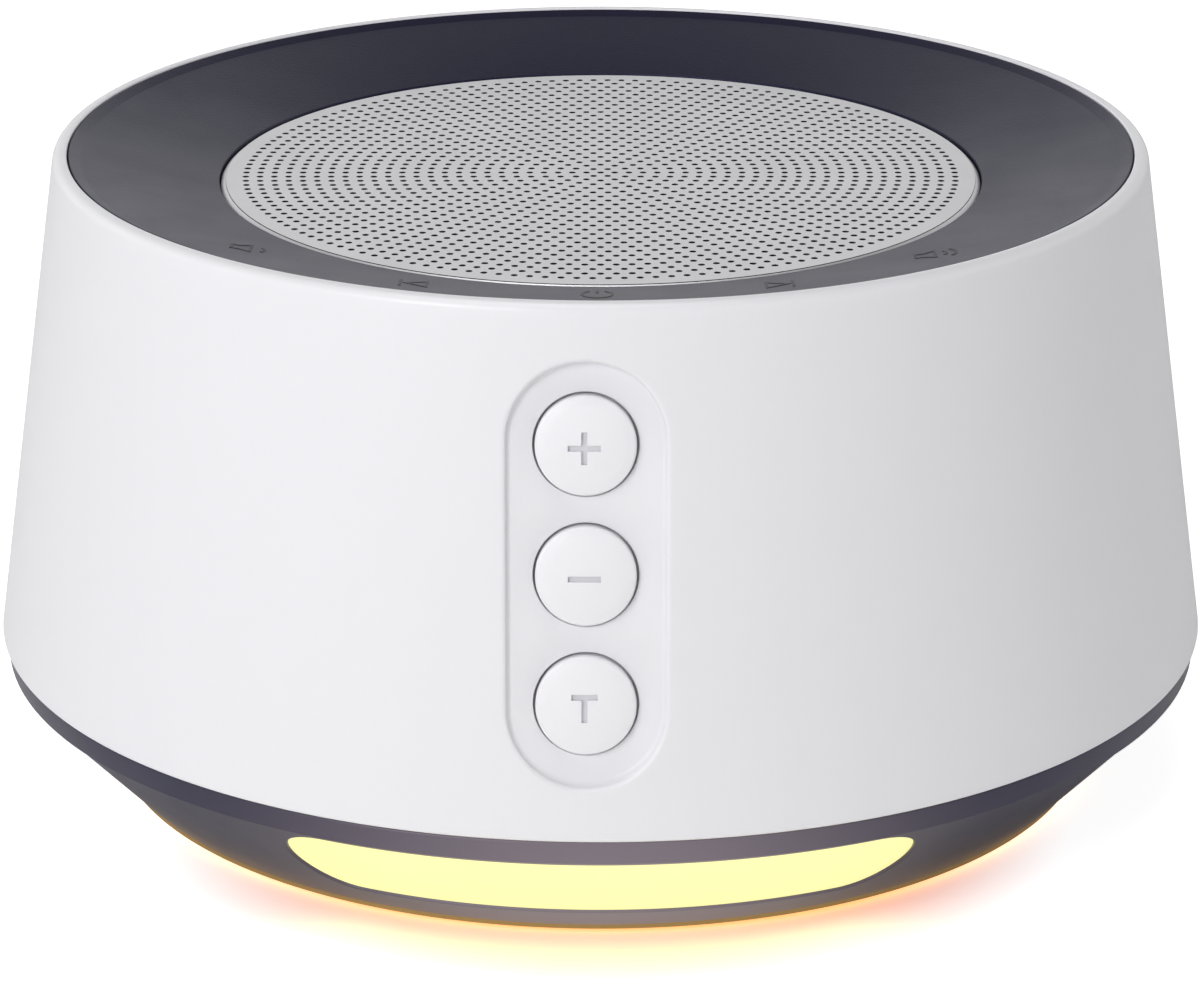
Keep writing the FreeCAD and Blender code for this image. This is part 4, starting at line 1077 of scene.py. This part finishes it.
def smooth_dome(cap, along):
    """Gives the dome its true normals, so the faces round the sign shade without creases."""
    mesh = cap.data
    inward = WELL.inward
    normals = []
    for face in mesh.polygons:
        for index in face.vertices:
            arm = mesh.vertices[index].co * MM - WELL.at(0, along, 0)
            bend = 2 * CAP_DOME / BUTTON_RADIUS ** 2
            true = Vector((bend * arm.x, 0, 0)) + WELL.up * bend * arm.dot(WELL.up) - inward
            true.normalize()
            shallow = -arm.dot(inward) > -dome(0) - SIGN_DEPTH / 2
            on_dome = true.dot(face.normal) > DOME_MATCH and shallow
            normals.append(true if on_dome else Vector((0, 0, 0)))
    mesh.normals_split_custom_set(normals)


def paint_sign_shade(cap, along):
    """Puts painted shade, a darker white, on the faces inside the sign's recess."""
    for face in cap.data.polygons:
        arm = face.center * MM - WELL.at(0, along, 0)
        depth = arm.dot(WELL.inward)
        reach = math.sqrt(max(0.0, arm.length_squared - depth ** 2))
        floor_depth = dome(0) + SIGN_DEPTH
        if reach < BUTTON_RADIUS / 2 and dome(reach) + SIGN_ABOVE < depth < floor_depth + SIGN_BELOW:
            face.material_index = 1


def make_cap(name, along, bars):
    """One button's cap with its sign, riding on the button's own body."""
    cap = cut(plain_object("cap_" + name, *cap_mesh(along)), plain_object("bars", *bar_cutter(along, bars)))
    cap.data.materials.clear()
    for material in (CAP_WHITE, PAINTED_SIGN_SHADE):
        cap.data.materials.append(material)
    paint_sign_shade(cap, along)
    cap.data.polygons.foreach_set("use_smooth", [True] * len(cap.data.polygons))
    cap.data.set_sharp_from_angle(angle=math.radians(CAP_SHARP))
    smooth_dome(cap, along)
    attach(cap, name)
    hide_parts("button_" + name)
    print(cap.name, "faces:", len(cap.data.polygons))


for name, (along, bars) in SIGNS.items():
    make_cap(name, along, bars)

# %% [markdown]
# ## The bowl and its lamp
# Below the shell a dark band turns in to a flared bowl with a long rounded window. The same
# pocket helper cuts the window, this time on a picture of the cone: across is the length
# round the wall at the window's middle, and up is the length along the slope. Light shines
# through a lens that fills the window and through a thin lip under the bowl.

# %% Bowl: window
BOWL_WALL = 1.8
BOWL_SKIN = BOWL_WALL / math.cos(FLARE)
WINDOW_LOW = 3.0
WINDOW_HIGH = 10.4
WINDOW_ANGLE = math.radians(31.4)
WINDOW_EDGE = 0.15
WINDOW_Z = (WINDOW_LOW + WINDOW_HIGH) / 2
WINDOW_R = BOWL_RADIUS + (WINDOW_Z - BOWL_LOW) * math.tan(FLARE)
WINDOW_RADIUS = (WINDOW_HIGH - WINDOW_LOW) / 2 / math.cos(FLARE)
WINDOW_HALF = WINDOW_ANGLE * WINDOW_R
WINDOW_SPINE = Vector((WINDOW_HALF - WINDOW_RADIUS, 0))


def bowl_flat(point):
    """The point's place round the cone and along its slope, from the window's middle."""
    angle = math.atan2(point.x, -point.y)
    return Vector((angle * WINDOW_R, (point.z - WINDOW_Z) / math.cos(FLARE)))


def bowl_lift(place, depth):
    """The point of the cone at such a place, at a depth below its skin."""
    angle = place.x / WINDOW_R
    radius = WINDOW_R + place.y * math.sin(FLARE) - depth * math.cos(FLARE)
    height = WINDOW_Z + place.y * math.cos(FLARE) + depth * math.sin(FLARE)
    return Vector((radius * math.sin(angle), -radius * math.cos(angle), height))


print("window:", round(2 * WINDOW_HALF, 1), "mm round the bowl,", round(2 * WINDOW_RADIUS, 1), "mm tall")

# %% [markdown]
# Round the window the dark plastic is given a painted glow: a faint warm emission that stands
# in for light creeping through its thin wall. It is strongest at the window's middle and fades
# with the distance from there, so one distance and one soft ramp are enough.

# %% Bowl: painted halo
PAINTED_HALO_REACH = 38.0
PAINTED_HALO_GLOW = 0.17
PAINTED_HALO_TONE = (1.0, 0.82, 0.85, 1)


def add_painted_halo(material):
    """Painted glow that fades with the distance from the window's middle."""
    tree = material.node_tree
    shader = tree.nodes["Principled BSDF"]
    shader.inputs["Emission Color"].default_value = PAINTED_HALO_TONE
    place = tree.nodes.new("ShaderNodeTexCoord")
    away = tree.nodes.new("ShaderNodeVectorMath")
    away.operation = "DISTANCE"
    away.inputs[1].default_value = (0, -WINDOW_R / MM, WINDOW_Z / MM)
    fade = tree.nodes.new("ShaderNodeMapRange")
    fade.interpolation_type = "SMOOTHSTEP"
    fade.inputs["From Min"].default_value = 0.0
    fade.inputs["From Max"].default_value = PAINTED_HALO_REACH / MM
    fade.inputs["To Min"].default_value = PAINTED_HALO_GLOW
    fade.inputs["To Max"].default_value = 0.0
    tree.links.new(place.outputs["Object"], away.inputs[0])
    tree.links.new(away.outputs["Value"], fade.inputs["Value"])
    tree.links.new(fade.outputs["Result"], shader.inputs["Emission Strength"])


add_painted_halo(BOWL)
print("halo reach:", PAINTED_HALO_REACH, "mm")

# %% [markdown]
# The bowl itself is one outline: the cone outside, a small step at the band, a flange that
# the shell stands on, and back down inside. Only the cone is divided into rows, since only
# the cone has a window to leave out.

# %% Bowl: build
BAND_STEP = 0.3
BAND_DRAFT = 0.2
BAND_GAP = 0.12
FLANGE_WIDTH = 7.0
FLANGE_THICK = 2.0
FLANGE_RADIUS = SHELL_RADIUS - SKIN - FLANGE_WIDTH
CONE_START = 6
CONE_ROWS = 14
WINDOW_SIDE = 36


def build_bowl():
    """The bowl with its window cut in the front."""
    line = rounded([
        (BOWL_RADIUS, BOWL_LOW, 0.2),
        (CONE_TOP, BAND_LOW, 0),
        (CONE_TOP + BAND_STEP, BAND_LOW, 0.15),
        (CONE_TOP + BAND_DRAFT + BAND_STEP, BOWL_TOP - BAND_GAP, 0.2),
        (FLANGE_RADIUS, BOWL_TOP, 0),
        (FLANGE_RADIUS, BOWL_TOP - FLANGE_THICK, 0),
        (CONE_TOP - BOWL_SKIN, BOWL_TOP - FLANGE_THICK, 0),
        (CONE_TOP - BOWL_SKIN, BAND_LOW, 0),
        (BOWL_RADIUS - BOWL_SKIN, BOWL_LOW, 0),
    ])
    line = divided(line, CONE_START, CONE_ROWS)
    points = turn_grid(line)
    front = SEGMENTS * 3 // 4
    window = (CONE_START + 1, CONE_START + CONE_ROWS, front - WINDOW_SIDE, front + WINDOW_SIDE)
    faces = turn_faces(len(line), skip=(window,))
    pocket(points, faces, window, bowl_flat, bowl_lift, WINDOW_SPINE, WINDOW_RADIUS, WINDOW_EDGE,
           [(0, BOWL_WALL)])
    return make_piece("bowl", points, faces, BOWL, "bowl_dark")


bowl = build_bowl()
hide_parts("base_bowl")

# %% [markdown]
# The lens is a pad that follows the cone and fills the window. Its rim is divided along the
# straight sides as well as round the ends, so that it bends with the bowl all the way.

# %% Lens
LENS_INSET = 0.25
LENS_PLAY = 0.02
LENS_RINGS = ((0.0, LENS_INSET), (0.35, LENS_INSET), (0.7, LENS_INSET), (1.0, LENS_INSET),
              (1.0, BOWL_WALL), (0.5, BOWL_WALL), (0.0, BOWL_WALL))


def stretched_rim(steps=60, cap=24):
    """Foot and direction of each rim point: along the top, round the end, and back."""
    rim = []
    for sign in (1, -1):
        for k in range(steps):
            rim.append((WINDOW_SPINE * (1 - 2 * k / steps) * sign, Vector((0, sign))))
        for k in range(cap):
            angle = math.pi * k / cap + (math.pi / 2 if sign == 1 else -math.pi / 2)
            rim.append((WINDOW_SPINE * -sign, Vector((math.cos(angle), math.sin(angle)))))
    return rim


def lens_mesh():
    """Points and faces of the lens, from the middle of its front to the middle of its back."""
    points, faces, rows = [], [], []
    for share, depth in LENS_RINGS:
        rows.append([])
        for foot, way in stretched_rim():
            rows[-1].append(len(points))
            points.append(bowl_lift(foot + way * (WINDOW_RADIUS - LENS_PLAY) * share, depth))
    for one, other in zip(rows, rows[1:]):
        bridge(faces, one, other)
    return points, faces


lens = make_piece("lens", *lens_mesh(), LAMP, "diffuser_warm")
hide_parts("light_diffuser")

# %% [markdown]
# The lens is one moulding with a thin ring that runs down inside the bowl and ends in a lip
# under its edge. The lip is lit from inside and throws a warm light on whatever the machine
# stands on. It is round all the way, so it is turned.

# %% Lip
LIP_WIDTH = 2.1
LIP_DROP = 0.45
LIP_INSET = 0.1
LIP_GAP = 0.15
SLEEVE_SPREAD, SLEEVE_RISE = 7.7, 8.2
LIP_INNER = BOWL_RADIUS - BOWL_SKIN - LIP_WIDTH
LIP_OUTER = BOWL_RADIUS - LIP_INSET
LIP_LOW = BOWL_LOW - LIP_DROP
SLEEVE = BOWL_RADIUS - BOWL_SKIN - LIP_GAP
lathe("light_lip", [
    (LIP_OUTER, LIP_LOW, 0.1),
    (LIP_OUTER, BOWL_LOW, 0),
    (SLEEVE, BOWL_LOW, 0),
    (SLEEVE + SLEEVE_SPREAD, BOWL_LOW + SLEEVE_RISE, 0),
    (LIP_INNER + SLEEVE_SPREAD, BOWL_LOW + SLEEVE_RISE, 0),
    (LIP_INNER, BOWL_LOW, 0),
    (LIP_INNER, LIP_LOW, 0),
], GLOW, "diffuser_warm", steps=3)

# %% [markdown]
# ## Floor, light and camera
# The machine stands on a plain white floor. A real floor would show a grey shadow where it
# should fade to white, so the floor is lifted for the camera alone: it lights nothing, and
# the machine isn't changed by it. In front of the lamp the lift turns warm: a painted pool of
# light that stands in for the glow of the lip on a white table.

# %% Floor
FLOOR_LIFT = 0.8
# A painted pool of warm light on the floor in front of the lamp, seen by the camera alone.
PAINTED_GLOW_CENTRE = (0, -0.020, 0)
PAINTED_GLOW_NEAR, PAINTED_GLOW_FAR = 0.027, 0.043
PAINTED_GLOW_TONE = (0.7, 0.15, 0.03, 1)
FLOOR_SIZE = 3.0


def floor_material():
    """White, lifted for the camera, with a painted warm pool of light in front of the lamp."""
    material = bpy.data.materials.new("pale_floor")
    material.use_nodes = True
    tree = material.node_tree
    shader = tree.nodes["Principled BSDF"]
    shader.inputs["Roughness"].default_value = 0.9
    shader.inputs["Specular IOR Level"].default_value = 0.1
    place = tree.nodes.new("ShaderNodeTexCoord")
    clouds = tree.nodes.new("ShaderNodeTexNoise")
    clouds.inputs["Scale"].default_value = 3.0
    tones = tree.nodes.new("ShaderNodeMix")
    tones.data_type = "RGBA"
    tones.inputs["A"].default_value = (0.97, 0.97, 0.97, 1)
    tones.inputs["B"].default_value = (1.0, 1.0, 1.0, 1)
    seen = tree.nodes.new("ShaderNodeLightPath")
    away = tree.nodes.new("ShaderNodeVectorMath")
    away.operation = "DISTANCE"
    away.inputs[1].default_value = PAINTED_GLOW_CENTRE
    fade = tree.nodes.new("ShaderNodeMapRange")
    fade.interpolation_type = "SMOOTHSTEP"
    fade.inputs["From Min"].default_value = PAINTED_GLOW_NEAR
    fade.inputs["From Max"].default_value = PAINTED_GLOW_FAR
    fade.inputs["To Min"].default_value = 1.0
    fade.inputs["To Max"].default_value = 0.0
    painted_glow = tree.nodes.new("ShaderNodeMix")
    painted_glow.data_type = "RGBA"
    painted_glow.inputs["B"].default_value = PAINTED_GLOW_TONE
    lift = tree.nodes.new("ShaderNodeMath")
    lift.operation = "MULTIPLY"
    lift.inputs[1].default_value = FLOOR_LIFT
    tree.links.new(place.outputs["Object"], away.inputs[0])
    tree.links.new(away.outputs["Value"], fade.inputs["Value"])
    tree.links.new(place.outputs["Object"], clouds.inputs["Vector"])
    tree.links.new(clouds.outputs["Fac"], tones.inputs["Factor"])
    tree.links.new(tones.outputs["Result"], shader.inputs["Base Color"])
    tree.links.new(tones.outputs["Result"], painted_glow.inputs["A"])
    tree.links.new(fade.outputs["Result"], painted_glow.inputs["Factor"])
    tree.links.new(painted_glow.outputs["Result"], shader.inputs["Emission Color"])
    tree.links.new(seen.outputs["Is Camera Ray"], lift.inputs[0])
    tree.links.new(lift.outputs[0], shader.inputs["Emission Strength"])
    return material


floor_mesh = bpy.data.meshes.new("floor")
half = FLOOR_SIZE / 2
floor_mesh.from_pydata([(-half, -half, 0), (half, -half, 0), (half, half, 0), (-half, half, 0)], [],
                       [(0, 1, 2, 3)])
floor = bpy.data.objects.new("floor", floor_mesh)
bpy.context.scene.collection.objects.link(floor)
floor.data.materials.append(floor_material())
print("floor:", FLOOR_SIZE, "m wide")

# %% [markdown]
# The light is soft: a pale surround that is bright near the horizon and dark overhead, one
# square lamp from the upper left in front, and a larger one straight above. The dark top of
# the surround keeps the dish dark, while its bright sides fill the shadows on the shell.

# %% World and lamps
world = bpy.data.worlds.new("surround")
bpy.context.scene.world = world
world.use_nodes = True
sky = world.node_tree.nodes["Background"]
HORIZON = 1.0
OVERHEAD = 0.07
FADE_LOW, FADE_HIGH = 0.34, 0.66
way = world.node_tree.nodes.new("ShaderNodeTexCoord")
rise = world.node_tree.nodes.new("ShaderNodeSeparateXYZ")
fade = world.node_tree.nodes.new("ShaderNodeMapRange")
fade.interpolation_type = "SMOOTHSTEP"
fade.inputs["From Min"].default_value = FADE_LOW
fade.inputs["From Max"].default_value = FADE_HIGH
fade.inputs["To Min"].default_value = HORIZON
fade.inputs["To Max"].default_value = OVERHEAD
world.node_tree.links.new(way.outputs["Generated"], rise.inputs["Vector"])
world.node_tree.links.new(rise.outputs["Z"], fade.inputs["Value"])
world.node_tree.links.new(fade.outputs["Result"], sky.inputs["Strength"])
sky.inputs["Color"].default_value = (1, 1, 1, 1)


def softbox(name, place, size, power):
    """A square lamp that faces the machine."""
    lamp = bpy.data.lights.new(name, "AREA")
    lamp.shape = "RECTANGLE"
    lamp.size, lamp.size_y = size, size
    lamp.energy = power
    holder = bpy.data.objects.new(name, lamp)
    bpy.context.scene.collection.objects.link(holder)
    holder.location = place
    holder.rotation_euler = (Vector(TARGET) - Vector(place)).to_track_quat("-Z", "Y").to_euler()
    print(name, "lamp:", power, "W")


TARGET = (0, 0, 0.03)
KEY_PLACE, KEY_SIZE, KEY_POWER = (-0.42, -0.62, 0.42), 0.3, 2.3
TOP_PLACE, TOP_SIZE, TOP_POWER = (-0.10, -0.10, 0.90), 0.5, 2.6
softbox("key", KEY_PLACE, KEY_SIZE, KEY_POWER)
softbox("top", TOP_PLACE, TOP_SIZE, TOP_POWER)

# %% [markdown]
# The camera stands in front and looks down by about twenty degrees through a long lens, so
# that the sides of the shell hardly converge beyond their own taper.

# %% Camera
CAMERA_BACK = 0.4318
CAMERA_ABOVE_SHELL = 0.1663
CAMERA_PITCH = 19.78
LENS = 149.9
SHIFT = -0.0005
camera = bpy.data.objects.new("camera", bpy.data.cameras.new("camera"))
bpy.context.scene.collection.objects.link(camera)
camera.location = (0, -CAMERA_BACK, CAMERA_ABOVE_SHELL + BOWL_TOP / MM)
camera.rotation_euler = (math.radians(90 - CAMERA_PITCH), 0, 0)
camera.data.lens = LENS
camera.data.sensor_width = 36
camera.data.shift_x = SHIFT
camera.data.clip_start = 0.01
bpy.context.scene.camera = camera
bpy.context.scene.view_settings.view_transform = "Standard"
print("camera:", [round(v, 3) for v in camera.location], "lens:", LENS, "mm")
